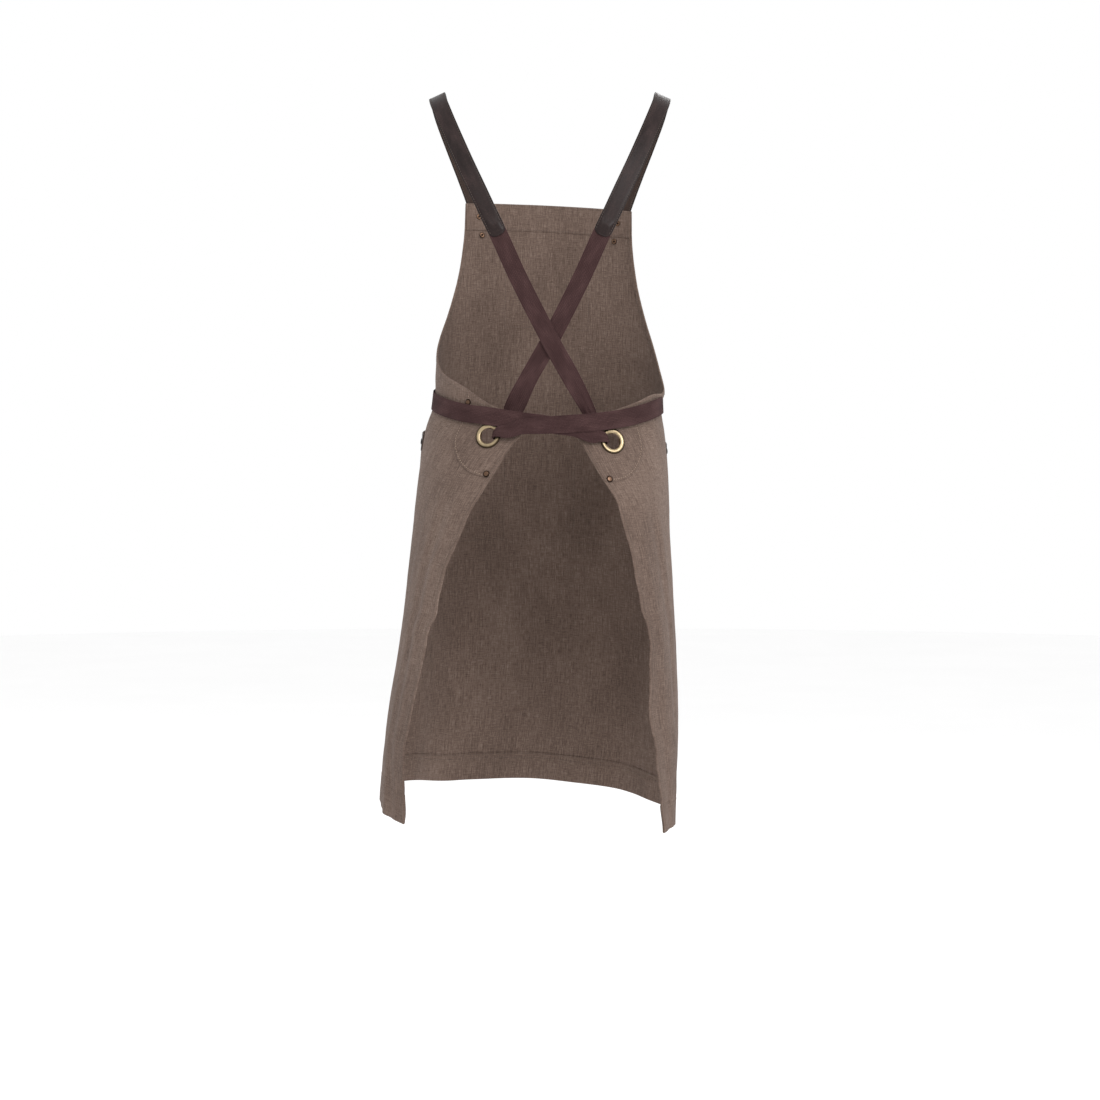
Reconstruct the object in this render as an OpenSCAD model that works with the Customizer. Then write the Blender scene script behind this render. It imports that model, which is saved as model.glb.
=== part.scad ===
// Cross-back butcher apron, shown as it hangs when it is worn and tied.
// The wearer faces -Y and the wearer's left is +X. The origin lies between the two
// straps where they cross the tops of the shoulders. Millimetres throughout.

/* [Panel] */
// Width of the skirt from rear edge to rear edge, laid flat
skirt_w = 807; // [795:2:813]
// Drop from the rear corners to the hem
skirt_drop = 580; // [560:5:580]
// Width of the bib's top edge, laid flat
bib_w = 260; // [250:5:264]
// Thickness of the panel's cloth
cloth_t = 1.6; // [1.2:0.1:1.6]
// Depth of the turned hem along the bottom
hem_depth = 40; // [30:2:44]

/* [Straps and ties] */
// Width of the leather straps and of the webbing
strap_w = 25; // [22:1:26]
// Thickness of one layer of strap leather
leather_t = 1.1; // [0.9:0.1:1.1]
// Thickness of the webbing
webbing_t = 1.6; // [1.2:0.1:1.6]

/* [Eyelets and rivets] */
// Radius of the eyelet's hole
eyelet_r = 11.5; // [11:0.1:11.5]
// Outer radius of the eyelet's flange
flange_r = 17.5; // [16:0.5:18]
// Radius of a rivet's head
rivet_r = 4.5; // [3.5:0.5:4.5]
// Radius of the round cloth patch at each rear corner
patch_r = 91.5; // [90:0.5:93]

/* [Pockets] */
// How far a pocket stands open at its mouth
pocket_gap = 11; // [9:1:12]
// Thickness of the pockets' cloth
pocket_t = 1.2; // [1:0.1:1.2]
// Depth of the leather trim on a pocket's mouth
trim_depth = 25; // [20:1:28]

/* [Hidden] */

// Colours
cloth_colour = [0.46, 0.39, 0.35];
webbing_colour = [0.29, 0.21, 0.21];
leather_colour = [0.22, 0.18, 0.17];
brass_colour = [0.62, 0.50, 0.34];

// Clearance between two layers that lie on each other
layer_gap = 0.3;
// Smoothness of turned metal
turned_fn = 48;

// ---- The form that the cloth hangs on ----

// Horizontal ovals from the chest down to the hem:
// height, half width, half depth, centre x, centre y
stations = [
    [-140, 165, 115, 2, 0],
    [-300, 160, 112, 2, 0],
    [-415, 161, 109, 3, 0],
    [-460, 170, 118, 6, 2],
    [-520, 177, 136, 9, 6],
    [-600, 182, 155, 12, 8],
    [-740, 194, 170, 16, 8],
    [-870, 206, 172, 24, 6],
    [-1000, 209, 175, 32, 4]
];
// The cloth drops towards the back and towards the wearer's right
back_drop = 23.5;
side_drop = 8;
// How far the cloth has slipped round the body towards the wearer's left, by height
slips = [[-1000, 4], [-900, 0], [-800, 0], [-700, 3], [-560, 6], [-420, 6], [-300, 3], [-140, 0]];
// Angle step of the arc-length table
arc_step = 2.5;

function unit(v) = v / norm(v);

function station_below(z, i = 0) =
    i >= len(stations) - 2 || z >= stations[i + 1][0] ? i : station_below(z, i + 1);

function station_slope(i) =
    let(p = stations[max(i - 1, 0)], q = stations[min(i + 1, len(stations) - 1)])
    (q - p) / (q[0] - p[0]);

// Cubic from p to q with slopes m and k over a span h, at t from 0 to 1
function cubic(p, m, q, k, h, t) =
    (2 * t ^ 3 - 3 * t ^ 2 + 1) * p + (t ^ 3 - 2 * t ^ 2 + t) * h * m
    + (-2 * t ^ 3 + 3 * t ^ 2) * q + (t ^ 3 - t ^ 2) * h * k;

// The oval at a height
function girth(z) =
    let(i = station_below(z), p = stations[i], q = stations[i + 1], h = q[0] - p[0])
    cubic(p, station_slope(i), q, station_slope(i + 1), h, (z - p[0]) / h);

// Arc length against angle for an oval, from the front centre to the back
function arc_table(a, b) = [
    for (
        i = 0, s = 0;
        i <= 180 / arc_step;
        s = s + norm([
            a * (sin((i + 1) * arc_step) - sin(i * arc_step)),
            b * (cos((i + 1) * arc_step) - cos(i * arc_step))
        ]),
        i = i + 1
    ) [s, i * arc_step]
];

function drop(angle) = -back_drop * (1 - cos(angle)) + side_drop * sin(angle);

// A point on an oval at an angle from the front centre, n outside the cloth's middle
function oval_point(g, angle, n) =
    [g[3] + g[1] * sin(angle), g[4] - g[2] * cos(angle), g[0] + drop(angle)]
    + n * unit([sin(angle) / g[1], -cos(angle) / g[2], 0]);

// A row of the cloth: points at arc lengths from the front centre
function cloth_row(z, across, n) =
    let(g = girth(z), table = arc_table(g[1], g[2]), slip = lookup(z, slips))
    [for (s = across) oval_point(g, sign(s + slip) * lookup(abs(s + slip), table), n)];

function cloth_point(s, z, n) = cloth_row(z, [s], n)[0];

// Point on the form by angle and true height, and the direction straight out of it
function form_point(angle, z) = oval_point(girth(z - drop(angle)), angle, 0);
function form_normal(angle, z) = unit(cross(
    form_point(angle + 1, z) - form_point(angle - 1, z),
    form_point(angle, z + 1) - form_point(angle, z - 1)
));

// Local axes on the cloth: origin, along the girth, up, outward
function cloth_axes(s, z) =
    let(
        along = unit(cloth_point(s + 1, z, 0) - cloth_point(s - 1, z, 0)),
        rise = unit(cloth_point(s, z + 1, 0) - cloth_point(s, z - 1, 0)),
        out = unit(cross(along, rise))
    )
    [cloth_point(s, z, 0), along, cross(out, along), out];

// Puts children on the cloth, with +Z outward and +Y up
module on_cloth(s, z) {
    f = cloth_axes(s, z);
    multmatrix([
        [f[1].x, f[2].x, f[3].x, f[0].x],
        [f[1].y, f[2].y, f[3].y, f[0].y],
        [f[1].z, f[2].z, f[3].z, f[0].z],
        [0, 0, 0, 1]
    ]) children();
}

// ---- Sheets and ribbons ----

// Closed solid between two grids of points with the same rows and columns.
// Rows run downwards and columns to the right, seen from outside.
module skin(outer, inner) {
    rows = len(outer);
    cols = len(outer[0]);
    back = rows * cols;
    function at(i, j) = i * cols + j;
    faces = [
        for (i = [0 : rows - 2], j = [0 : cols - 2]) each [
            [at(i, j), at(i, j + 1), at(i + 1, j + 1)],
            [at(i, j), at(i + 1, j + 1), at(i + 1, j)],
            [back + at(i, j), back + at(i + 1, j + 1), back + at(i, j + 1)],
            [back + at(i, j), back + at(i + 1, j), back + at(i + 1, j + 1)]
        ],
        for (j = [0 : cols - 2]) each [
            [at(0, j), back + at(0, j), back + at(0, j + 1)],
            [at(0, j), back + at(0, j + 1), at(0, j + 1)],
            [at(rows - 1, j + 1), back + at(rows - 1, j + 1), back + at(rows - 1, j)],
            [at(rows - 1, j + 1), back + at(rows - 1, j), at(rows - 1, j)]
        ],
        for (i = [0 : rows - 2]) each [
            [at(i, 0), at(i + 1, 0), back + at(i + 1, 0)],
            [at(i, 0), back + at(i + 1, 0), back + at(i, 0)],
            [at(i + 1, cols - 1), at(i, cols - 1), back + at(i, cols - 1)],
            [at(i + 1, cols - 1), back + at(i, cols - 1), back + at(i + 1, cols - 1)]
        ]
    ];
    polyhedron([for (r = outer) each r, for (r = inner) each r], faces, convexity = 10);
}

function flipped(grid) = [for (r = grid) [for (j = [len(r) - 1 : -1 : 0]) r[j]]];
function middle(k) = [k[0], k[1], k[2]];
function facing(k) = [k[3], k[4], k[5]];

// A knot of a ribbon's route: place, direction that its outer face looks in, width,
// and how far the two layers of a doubled strap stand from its middle
function knot(place, look, width, spread = 0) = concat(place, unit(look), [width, spread]);

function chord_lengths(route) = [
    for (
        i = 0, s = 0;
        i < len(route);
        s = s + (i + 1 < len(route) ? norm(middle(route[i + 1]) - middle(route[i])) : 0),
        i = i + 1
    ) s
];

function route_slope(route, at, i) =
    let(a = max(i - 1, 0), b = min(i + 1, len(route) - 1))
    (route[b] - route[a]) / (at[b] - at[a]);

// Smooth stretch of a route between two of its knots
function smooth(route, first, last, step) =
    let(at = chord_lengths(route))
    concat(
        [
            for (i = [first : last - 1])
                let(h = at[i + 1] - at[i], pieces = max(2, ceil(h / step)))
                for (k = [0 : pieces - 1])
                    cubic(
                        route[i], route_slope(route, at, i),
                        route[i + 1], route_slope(route, at, i + 1), h, k / pieces
                    )
        ],
        [route[last]]
    );

// Flat ribbon along smoothed knots; layer is +1 or -1 for the two layers of a
// doubled strap and 0 for a single one
module ribbon(path, thick, layer = 0) {
    last = len(path) - 1;
    rings = [
        for (i = [0 : last])
            let(
                t = unit(middle(path[min(i + 1, last)]) - middle(path[max(i - 1, 0)])),
                face = facing(path[i]),
                n = unit(face - (face * t) * t),
                w = cross(t, n) * path[i][6] / 2,
                m = middle(path[i]) + n * layer * path[i][7],
                d = n * thick / 2
            )
            [m + w + d, m + w - d, m - w - d, m - w + d]
    ];
    faces = [
        [0, 1, 2], [0, 2, 3],
        for (i = [0 : last - 1], k = [0 : 3])
            let(a = i * 4 + k, b = i * 4 + (k + 1) % 4)
            each k == 1 ? [[a, a + 4, b], [b, a + 4, b + 4]] : [[a, a + 4, b + 4], [a, b + 4, b]],
        [last * 4 + 2, last * 4 + 1, last * 4],
        [last * 4 + 3, last * 4 + 2, last * 4]
    ];
    polyhedron([for (r = rings) each r], faces, convexity = 10);
}

// ---- Panel outline ----

column_w = skirt_w / 32;
skirt_rows = 18;
hem_rows = 2;
top_rows = 12;
bib_z = -140;
corner_z = -420;
hem_z = corner_z - skirt_drop;
// The skirt's even rows start a little below its rear corners
join_z = corner_z - 17;
row_drop = (join_z - hem_z - hem_depth) / skirt_rows;

// Armhole curve from the bib's top corner to the rear corner: half width, height
armhole = [[bib_w / 2, bib_z], [bib_w / 2 + 2, -365], [240, -375], [skirt_w / 2, corner_z]];
function bezier(p, t) =
    (1 - t) ^ 3 * p[0] + 3 * t * (1 - t) ^ 2 * p[1] + 3 * t ^ 2 * (1 - t) * p[2] + t ^ 3 * p[3];
armhole_steps = 60;
armhole_table = [for (k = [0 : armhole_steps]) bezier(armhole, k / armhole_steps)];
function top_edge(s) = lookup(abs(s), armhole_table);

// Even columns, with closer ones where the armhole is steep
half_columns = [
    0, 1, 2, 3, 4, 5,
    for (s = [bib_w / 2, bib_w / 2 + 3, bib_w / 2 + 7, bib_w / 2 + 13]) s / column_w,
    6, 6.5, 7, 7.5, 8, 9, 10, 11, 12, 13, 14, 15, 16
] * column_w;
across_panel = [
    for (k = [len(half_columns) - 1 : -1 : 1]) -half_columns[k],
    for (s = half_columns) s
];
function across_between(a, b) = [for (s = across_panel) if (s >= a && s <= b) s];

// Heights down a column: even steps from its top edge to the first row of the skirt,
// even rows to the hem's facing, and the facing's own rows
function heights_down(s) =
    let(top = top_edge(s))
    [
        for (k = [0 : top_rows]) top + (join_z - top) * k / top_rows,
        for (k = [1 : skirt_rows]) join_z - k * row_drop,
        for (k = [1 : hem_rows]) hem_z + hem_depth * (1 - k / hem_rows)
    ];

function panel_grid(n) =
    let(columns = [for (s = across_panel) [for (z = heights_down(s)) cloth_point(s, z, n)]])
    [for (i = [0 : len(columns[0]) - 1]) [for (c = columns) c[i]]];

// ---- Eyelets ----

eyelet_s = skirt_w / 2 - 44.75;
eyelet_z = corner_z - 26;
barrel_t = 0.6;
barrel_gap = 0.2;
hole_r = eyelet_r + barrel_t + barrel_gap;

module eyelet_hole(side) {
    on_cloth(side * eyelet_s, eyelet_z) cylinder(h = 12, r = hole_r, center = true, $fn = turned_fn);
}

// ---- Panel and facings ----

module apron_panel() {
    color(cloth_colour) difference() {
        skin(panel_grid(cloth_t / 2), panel_grid(-cloth_t / 2));
        for (side = [-1, 1]) eyelet_hole(side);
    }
}

// Cloth doubled on the inside: the bib's top band and the deep hem
facing_t = 1;
bib_facing_depth = 40;
facing_inset = 1;

module facing_band(rows, across) {
    top = -cloth_t / 2 - layer_gap;
    skin(
        [for (z = rows) cloth_row(z, across, top)],
        [for (z = rows) cloth_row(z, across, top - facing_t)]
    );
}

module bib_facing() {
    top = bib_z - facing_inset;
    color(cloth_colour) facing_band(
        [top, top - bib_facing_depth],
        across_between(-bib_w / 2, bib_w / 2)
    );
}

module hem_facing() {
    rows = [for (k = [hem_rows : -1 : 0]) hem_z + hem_depth * k / hem_rows];
    color(cloth_colour) facing_band(rows, across_panel);
}

// ---- Corner patches ----

patch_centre = [10, -10];
patch_t = 1;
patch_base = cloth_t / 2 + 0.5;
patch_inset = 1.2;
// The patch fans out from the rear corner, from the armhole's edge to the rear edge
patch_first = -14.5;
patch_last = 90;
patch_spokes = 12;
patch_rings = 8;
patch_tip = 0.04;

// Distance from the rear corner to the patch's round edge in a direction
function patch_reach(t) =
    let(along = patch_centre * [cos(t), sin(t)])
    along + sqrt(along ^ 2 - patch_centre * patch_centre + patch_r ^ 2);

function patch_grid(side, n) = [
    for (i = [0 : patch_rings])
        let(share = patch_tip + (1 - patch_tip) * i / patch_rings)
        [
            for (j = [0 : patch_spokes])
                let(
                    t = patch_first + (patch_last - patch_first) * j / patch_spokes,
                    r = (patch_reach(t) - patch_inset) * share
                )
                cloth_point(
                    side * (skirt_w / 2 - patch_inset - r * cos(t)),
                    corner_z - patch_inset - r * sin(t), n
                )
        ]
];

module corner_patch(side) {
    outer = patch_grid(side, patch_base + patch_t);
    inner = patch_grid(side, patch_base);
    color(cloth_colour) difference() {
        if (side > 0) skin(outer, inner);
        else skin(flipped(outer), flipped(inner));
        eyelet_hole(side);
    }
}

flange_base = 3.1;
flange_rise = 1.5;
lip_base = -3.9;
lip_w = 1.8;
lip_rise = 1;
washer_t = 0.9;
washer_base = lip_base + 0.2;

// The eyelet: a domed flange outside, its barrel through the cloth, and the barrel's
// end rolled over a washer inside
module eyelet(side) {
    out = eyelet_r + barrel_t;
    lip_half = (barrel_t + lip_w) / 2;
    flange_half = (flange_r - eyelet_r) / 2;
    color(brass_colour) on_cloth(side * eyelet_s, eyelet_z) rotate_extrude($fn = turned_fn)
        polygon([
            for (t = [180 : -22.5 : 0])
                [eyelet_r + flange_half * (1 + cos(t)), flange_base + flange_rise * sin(t)],
            [out, flange_base], [out, lip_base],
            for (t = [0 : 22.5 : 180])
                [eyelet_r + lip_half * (1 + cos(t)), lip_base - lip_rise * sin(t)]
        ]);
}

module eyelet_washer(side) {
    color(brass_colour) on_cloth(side * eyelet_s, eyelet_z) rotate_extrude($fn = turned_fn)
        translate([hole_r, washer_base]) square([flange_r - hole_r, washer_t]);
}

// ---- Rivets ----

rivet_rise = 1.2;
rivet_post_r = 1.5;
rivet_cap_t = 0.8;

// A set rivet: low domed head above n = top, post, and a flat cap below n = bottom
module rivet(s, z, top, bottom) {
    cap_r = rivet_r - 0.5;
    color(brass_colour) on_cloth(s, z) rotate_extrude($fn = turned_fn) polygon([
        [0, bottom - rivet_cap_t], [cap_r, bottom - rivet_cap_t],
        [cap_r, bottom], [rivet_post_r, bottom], [rivet_post_r, top],
        for (t = [0 : 22.5 : 90]) [rivet_r * cos(t), top + rivet_rise * sin(t)]
    ]);
}

cloth_back = -cloth_t / 2 - 0.5;
patch_rivet_places = [[skirt_w / 2 - 98, corner_z + 15], [skirt_w / 2 - 10, corner_z - 78]];

module patch_rivets(side) {
    for (p = patch_rivet_places)
        rivet(side * p.x, p.y, patch_base + patch_t + 0.05, cloth_back);
}

// ---- Straps: leather over the shoulders, then webbing to the opposite eyelet ----

layer_half = leather_t / 2 + 0.15;
strap_lift = cloth_t / 2 + layer_gap + leather_t / 2 + layer_half;
leather_step = 14;
webbing_step = 12;
bunched_w = 16;

// Sewn stretch of the strap on the bib, as arc length and height
bib_places = [[100, -195], [106, -165], [113, -141]];

// Knots over the wearer's left shoulder: place, direction of the outer face.
// The last three also hold the end of the webbing, so the layers open there.
shoulder_knots = [
    [[124, -86, -104], [0.45, -0.88, 0.15], 0],
    [[140, -72, -62], [0.45, -0.75, 0.45], 0],
    [[154, -46, -24], [0.42, -0.5, 0.75], 0],
    [[161, -8, 1.2], [0.42, 0, 0.9], 0],
    [[155, 32, -14], [0.35, 0.5, 0.8], 0],
    [[137, 64, -55], [0.25, 0.8, 0.5], 0],
    [[113, 88, -105], [0.15, 0.95, 0.25], 0],
    [[94, 102, -150], [0.08, 0.99, 0.14], 0.6],
    [[84, 107.6, -176], [0.03, 1, 0.05], 1.3],
    [[71.4, 112, -206], [0, 1, 0], 1.5]
];

// Knots down the back for the left and the right webbing
back_left = [[42, 115.5, -272], [-0.4, 116, -355], [-30, 112.5, -408]];
back_right = [[-42, 113.5, -272], [0, 112.4, -355], [30, 110, -408]];

// The turn through an eyelet, in the cloth's axes there: towards the rear centre,
// outward, up; then the direction of the outer face, and the width
turn_in = [
    [[28, -6.6, 46], [0, 1, 0], 22],
    [[18, -7, 16], [0, 1, 0], bunched_w],
    [[9, -6.8, 3], [0.3, 1, 0], bunched_w],
    [[5, -2.8, 0], [1, 0.3, 0], bunched_w],
    [[4.4, 1.4, 0], [1, 0, 0], bunched_w]
];
turn_low = [
    [[5.2, 5, 0], [0.8, -0.6, 0], bunched_w],
    [[12, 6, 0.5], [0, -1, 0], bunched_w],
    [[22, 5.4, 1.5], [0, -1, 0], 18],
    [[31, 4.4, 3], [0, -1, 0], 20]
];
turn_high = [
    [[5.2, 5.2, 0], [0.8, -0.6, 0], bunched_w],
    [[13, 6.8, 0.5], [0, -1, 0], bunched_w],
    [[30, 7, 3], [0, -1, 0], 20]
];

// Ties round the waist: angle travelled from the front centre the long way round,
// height, distance outside the cloth, width. The tie from the right eyelet lies
// under the tie from the left one.
belt_low = [
    [167, -482, 6.5, 22], [180, -474, 6.2, 24], [195, -466, 6.2, 25], [210, -459, 6.7, 25],
    [223, -455, 5.6, 25], [235, -449, 4.9, 25], [250, -441, 3.8, 25], [270, -432, 3, 25],
    [290, -425, 3.2, 25], [315, -417, 3.1, 25], [340, -410, 3, 22]
];
belt_high = [
    [168, -479, 8.8, 22], [180, -474, 8.8, 24], [190, -471, 9.2, 25], [200, -469, 9.4, 25],
    [210, -465.5, 9, 25], [223, -459.5, 7, 25], [235, -453, 5, 25], [250, -445, 3.9, 25],
    [270, -437, 3, 25], [290, -428, 2.8, 25], [315, -418, 2.8, 25], [340, -410, 3, 22]
];
belt_step = 8;

function mirrored(v, side) = [side * v.x, v.y, v.z];

function shoulder_part(side) = [
    for (p = bib_places) let(f = cloth_axes(side * p.x, p.y))
        knot(f[0] + strap_lift * f[3], f[3], strap_w, layer_half),
    for (k = shoulder_knots)
        knot(mirrored(k[0], side), mirrored(k[1], side), strap_w, layer_half + k[2])
];

// A turn's knots at the eyelet on one side
function turn_part(side, knots) =
    let(f = cloth_axes(side * eyelet_s, eyelet_z))
    [
        for (k = knots)
            knot(
                f[0] + side * k[0][0] * f[1] + k[0][1] * f[3] + k[0][2] * f[2],
                side * k[1][0] * f[1] + k[1][1] * f[3] + k[1][2] * f[2], k[2]
            )
    ];

function belt_column(places, i, angle) = lookup(angle, [for (p = places) [p[0], p[i]]]);

// A strap's tie runs on round the other side of the waist
function belt_part(side, places) =
    let(first = places[0][0], last = places[len(places) - 1][0], count = ceil((last - first) / belt_step))
    [
        for (k = [0 : count])
            let(
                travelled = first + (last - first) * k / count,
                z = belt_column(places, 1, travelled),
                out = form_normal(-side * travelled, z)
            )
            knot(
                form_point(-side * travelled, z) + belt_column(places, 2, travelled) * out,
                -out, belt_column(places, 3, travelled)
            )
    ];

// The ties run into the bow's knot from the two sides
function tie_end(side) = [
    knot([side * 26, -115.2, -407.5], [side * -0.2, 1, 0], 15),
    knot([side * 15.4, -118.2, -408], [side * -0.3, 1, 0], 11)
];

function back_part(side) = [
    for (p = side > 0 ? back_left : back_right) knot(p, [0, 1, 0], strap_w)
];

function strap_route(side) = concat(
    shoulder_part(side), back_part(side), turn_part(-side, turn_in),
    turn_part(-side, side > 0 ? turn_low : turn_high),
    belt_part(side, side > 0 ? belt_low : belt_high), tie_end(side)
);

leather_last = len(bib_places) + len(shoulder_knots) - 1;
webbing_first = leather_last - 1;

module strap_layer(side, layer) {
    color(leather_colour)
        ribbon(smooth(strap_route(side), 0, leather_last, leather_step), leather_t, layer);
}

module webbing(side) {
    route = strap_route(side);
    color(webbing_colour)
        ribbon(smooth(route, webbing_first, len(route) - 1, webbing_step), webbing_t);
}

module strap_rivets(side) {
    top = strap_lift + layer_half + leather_t / 2 + 0.05;
    bottom = -cloth_t / 2 - layer_gap - facing_t - 0.4;
    for (p = [[101.6, -187], [107.2, -160]])
        rivet(side * p.x, p.y, top, bottom);
}

// ---- Pockets ----

pocket_base = cloth_t / 2 + 0.4;
trim_t = 1.2;
pocket_rivet_inset = 8;

// How far a pocket's inner face stands off the panel, across u and down v from 0 to 1
function pocket_stand(u, v) = pocket_base + pocket_gap * max(0, sin(180 * u)) ^ 0.6 * (1 - v ^ 2);

// A pocket's face as a grid: arc lengths across, heights down, extra distance outward
function pocket_grid(across, down, bottom, extra) = [
    for (z = down) [
        for (s = across)
            cloth_point(
                s, z,
                extra + pocket_stand(
                    (s - across[0]) / (across[len(across) - 1] - across[0]),
                    (z - down[0]) / (bottom - down[0])
                )
            )
    ]
];

module pocket(across, down) {
    bottom = down[len(down) - 1];
    color(cloth_colour) skin(
        pocket_grid(across, down, bottom, pocket_t),
        pocket_grid(across, down, bottom, 0)
    );
}

module pocket_trim(across, down) {
    bottom = down[len(down) - 1];
    band = [down[0], down[0] - trim_depth];
    near = pocket_t + layer_gap;
    color(leather_colour) skin(
        pocket_grid(across, band, bottom, near + trim_t),
        pocket_grid(across, band, bottom, near)
    );
}

module pocket_rivets(across, down) {
    top = pocket_stand(0, 0) + pocket_t + layer_gap + trim_t;
    first = across[0] + pocket_rivet_inset;
    last = across[len(across) - 1] - pocket_rivet_inset;
    lift = pocket_stand(pocket_rivet_inset / (last - first + 2 * pocket_rivet_inset), 0) - pocket_base;
    for (s = [first, last])
        rivet(s, down[0] - trim_depth / 2, top + lift * 0.8, cloth_back);
}

// Hip pockets sit on the panel's own rows and columns
hip_first = 2 * column_w;
hip_last = 9 * column_w;
hip_down = [for (k = [1 : 7]) join_z - k * row_drop];
function hip_across(side) =
    side > 0 ? across_between(hip_first, hip_last) : across_between(-hip_last, -hip_first);

chest_half = 65;
chest_across = [for (k = [-4 : 4]) k * chest_half / 4];
chest_down = [for (k = [0 : 5]) -195 - k * 26];

// ---- Bow ----

bow = [0, -122, -408];
bow_knot_r = 14.5;
bow_knot_half = 6.5;
loop_knots = [
    [[14.7, -122, -405], [0, -1, 0], 12],
    [[30, -122.4, -400], [0, -1, 0.2], 19],
    [[52, -122.8, -401], [0, -1, 0.1], 24],
    [[70, -123.6, -407], [-0.2, -1, 0], 25],
    [[76, -125, -409.5], [-0.8, -0.6, 0], 25],
    [[77.5, -127, -411], [-1, 0, 0], 25],
    [[76, -129, -412], [-0.8, 0.6, 0], 25],
    [[70, -130.4, -413], [-0.2, 1, 0], 25],
    [[52, -131, -413], [0, 1, 0], 24],
    [[30, -129, -411], [0, 1, 0], 19],
    [[14.7, -126.4, -410], [0, 1, 0], 12]
];
loop_step = 10;
tail_step = 16;
tail_x = 6;
tail_top = -428;
tail_top_w = 10;
tail_lengths = [290, 262];
tail_lifts = [9, 4.6];

function loop_route(side) =
    [for (k = loop_knots) knot(mirrored(k[0], side), mirrored(k[1], side), k[2])];

// A tail hangs straight down from the knot and follows the front of the skirt
function tail_route(side) =
    let(
        i = side > 0 ? 0 : 1,
        length = tail_lengths[i]
    )
    [
        for (k = [0 : 8])
            let(
                share = k / 8,
                z = tail_top - share * length,
                lift = tail_lifts[i] + 3 * (1 - share) ^ 6,
                width = tail_top_w + (strap_w - tail_top_w) * min(1, 3 * share)
            )
            knot([side * tail_x, cloth_point(0, z, lift).y, z], [0, -1, 0.1], width)
    ];

module tie_knot() {
    color(webbing_colour) translate(bow) rotate([90, 0, 0]) rotate_extrude($fn = turned_fn)
        polygon([
            [0, -bow_knot_half], [bow_knot_r - 4, -bow_knot_half],
            [bow_knot_r - 1, -bow_knot_half + 2], [bow_knot_r, 0],
            [bow_knot_r - 1, bow_knot_half - 2], [bow_knot_r - 4, bow_knot_half],
            [0, bow_knot_half]
        ]);
}

module bow_loop(side) {
    color(webbing_colour)
        ribbon(smooth(loop_route(side), 0, len(loop_knots) - 1, loop_step), webbing_t);
}

module tie_tail(side) {
    route = tail_route(side);
    color(webbing_colour) ribbon(smooth(route, 0, len(route) - 1, tail_step), webbing_t);
}

apron_panel();
bib_facing();
hem_facing();
corner_patch(1);  // corner_patch_left
corner_patch(-1);  // corner_patch_right
eyelet(1);  // eyelet_left
eyelet(-1);  // eyelet_right
eyelet_washer(1);  // eyelet_washer_left
eyelet_washer(-1);  // eyelet_washer_right
patch_rivets(1);  // patch_rivets_left
patch_rivets(-1);  // patch_rivets_right
strap_layer(1, 1);  // strap_leather_left
strap_layer(-1, 1);  // strap_leather_right
strap_layer(1, -1);  // strap_lining_left
strap_layer(-1, -1);  // strap_lining_right
strap_rivets(1);  // strap_rivets_left
strap_rivets(-1);  // strap_rivets_right
webbing(1);  // webbing_left
webbing(-1);  // webbing_right
pocket(hip_across(1), hip_down);  // hip_pocket_left
pocket(hip_across(-1), hip_down);  // hip_pocket_right
pocket_trim(hip_across(1), hip_down);  // hip_pocket_trim_left
pocket_trim(hip_across(-1), hip_down);  // hip_pocket_trim_right
pocket_rivets(hip_across(1), hip_down);  // hip_pocket_rivets_left
pocket_rivets(hip_across(-1), hip_down);  // hip_pocket_rivets_right
pocket(chest_across, chest_down);  // chest_pocket
pocket_trim(chest_across, chest_down);  // chest_pocket_trim
pocket_rivets(chest_across, chest_down);  // chest_pocket_rivets
tie_knot();
bow_loop(1);  // bow_loop_left
bow_loop(-1);  // bow_loop_right
tie_tail(1);  // tie_tail_left
tie_tail(-1);  // tie_tail_right
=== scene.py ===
"""Butcher apron: cloth, leather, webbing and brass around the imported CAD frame.

Lengths in the helpers are millimetres, as in the design, and MM turns them into metres
where a mesh is made. The wearer faces -Y and the camera stands behind, on +Y.
"""

import math

import bpy
import numpy as np
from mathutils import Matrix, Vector, noise


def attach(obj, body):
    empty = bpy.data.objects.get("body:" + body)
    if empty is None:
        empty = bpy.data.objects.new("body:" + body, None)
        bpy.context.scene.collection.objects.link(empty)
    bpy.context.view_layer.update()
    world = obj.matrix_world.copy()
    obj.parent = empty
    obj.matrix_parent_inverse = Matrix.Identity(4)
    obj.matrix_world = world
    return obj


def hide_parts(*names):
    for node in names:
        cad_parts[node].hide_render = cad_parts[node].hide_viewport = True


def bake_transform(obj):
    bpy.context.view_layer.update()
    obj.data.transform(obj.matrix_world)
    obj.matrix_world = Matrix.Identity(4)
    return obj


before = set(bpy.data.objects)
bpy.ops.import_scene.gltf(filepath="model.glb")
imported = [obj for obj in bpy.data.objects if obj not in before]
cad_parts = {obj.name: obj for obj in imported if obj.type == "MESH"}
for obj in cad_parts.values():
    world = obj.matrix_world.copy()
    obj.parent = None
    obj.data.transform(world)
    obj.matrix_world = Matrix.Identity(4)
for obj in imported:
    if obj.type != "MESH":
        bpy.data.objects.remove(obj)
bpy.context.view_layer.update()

MM = 0.001
ROOT = "apron"
SIDES = {"left": 1, "right": -1}


# ---------------------------------------------------------------- the hanging form
# Ovals: height, half width, half depth, centre x, centre y
STATIONS = np.array([
    [-140, 165, 115, 2, 0],
    [-300, 160, 112, 2, 0],
    [-415, 161, 109, 3, 0],
    [-460, 170, 118, 6, 2],
    [-520, 177, 136, 9, 6],
    [-600, 182, 155, 12, 8],
    [-740, 194, 170, 16, 8],
    [-870, 206, 172, 24, 6],
    [-1000, 209, 175, 32, 4],
], float)
BACK_DROP, SIDE_DROP = 23.5, 8
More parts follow.
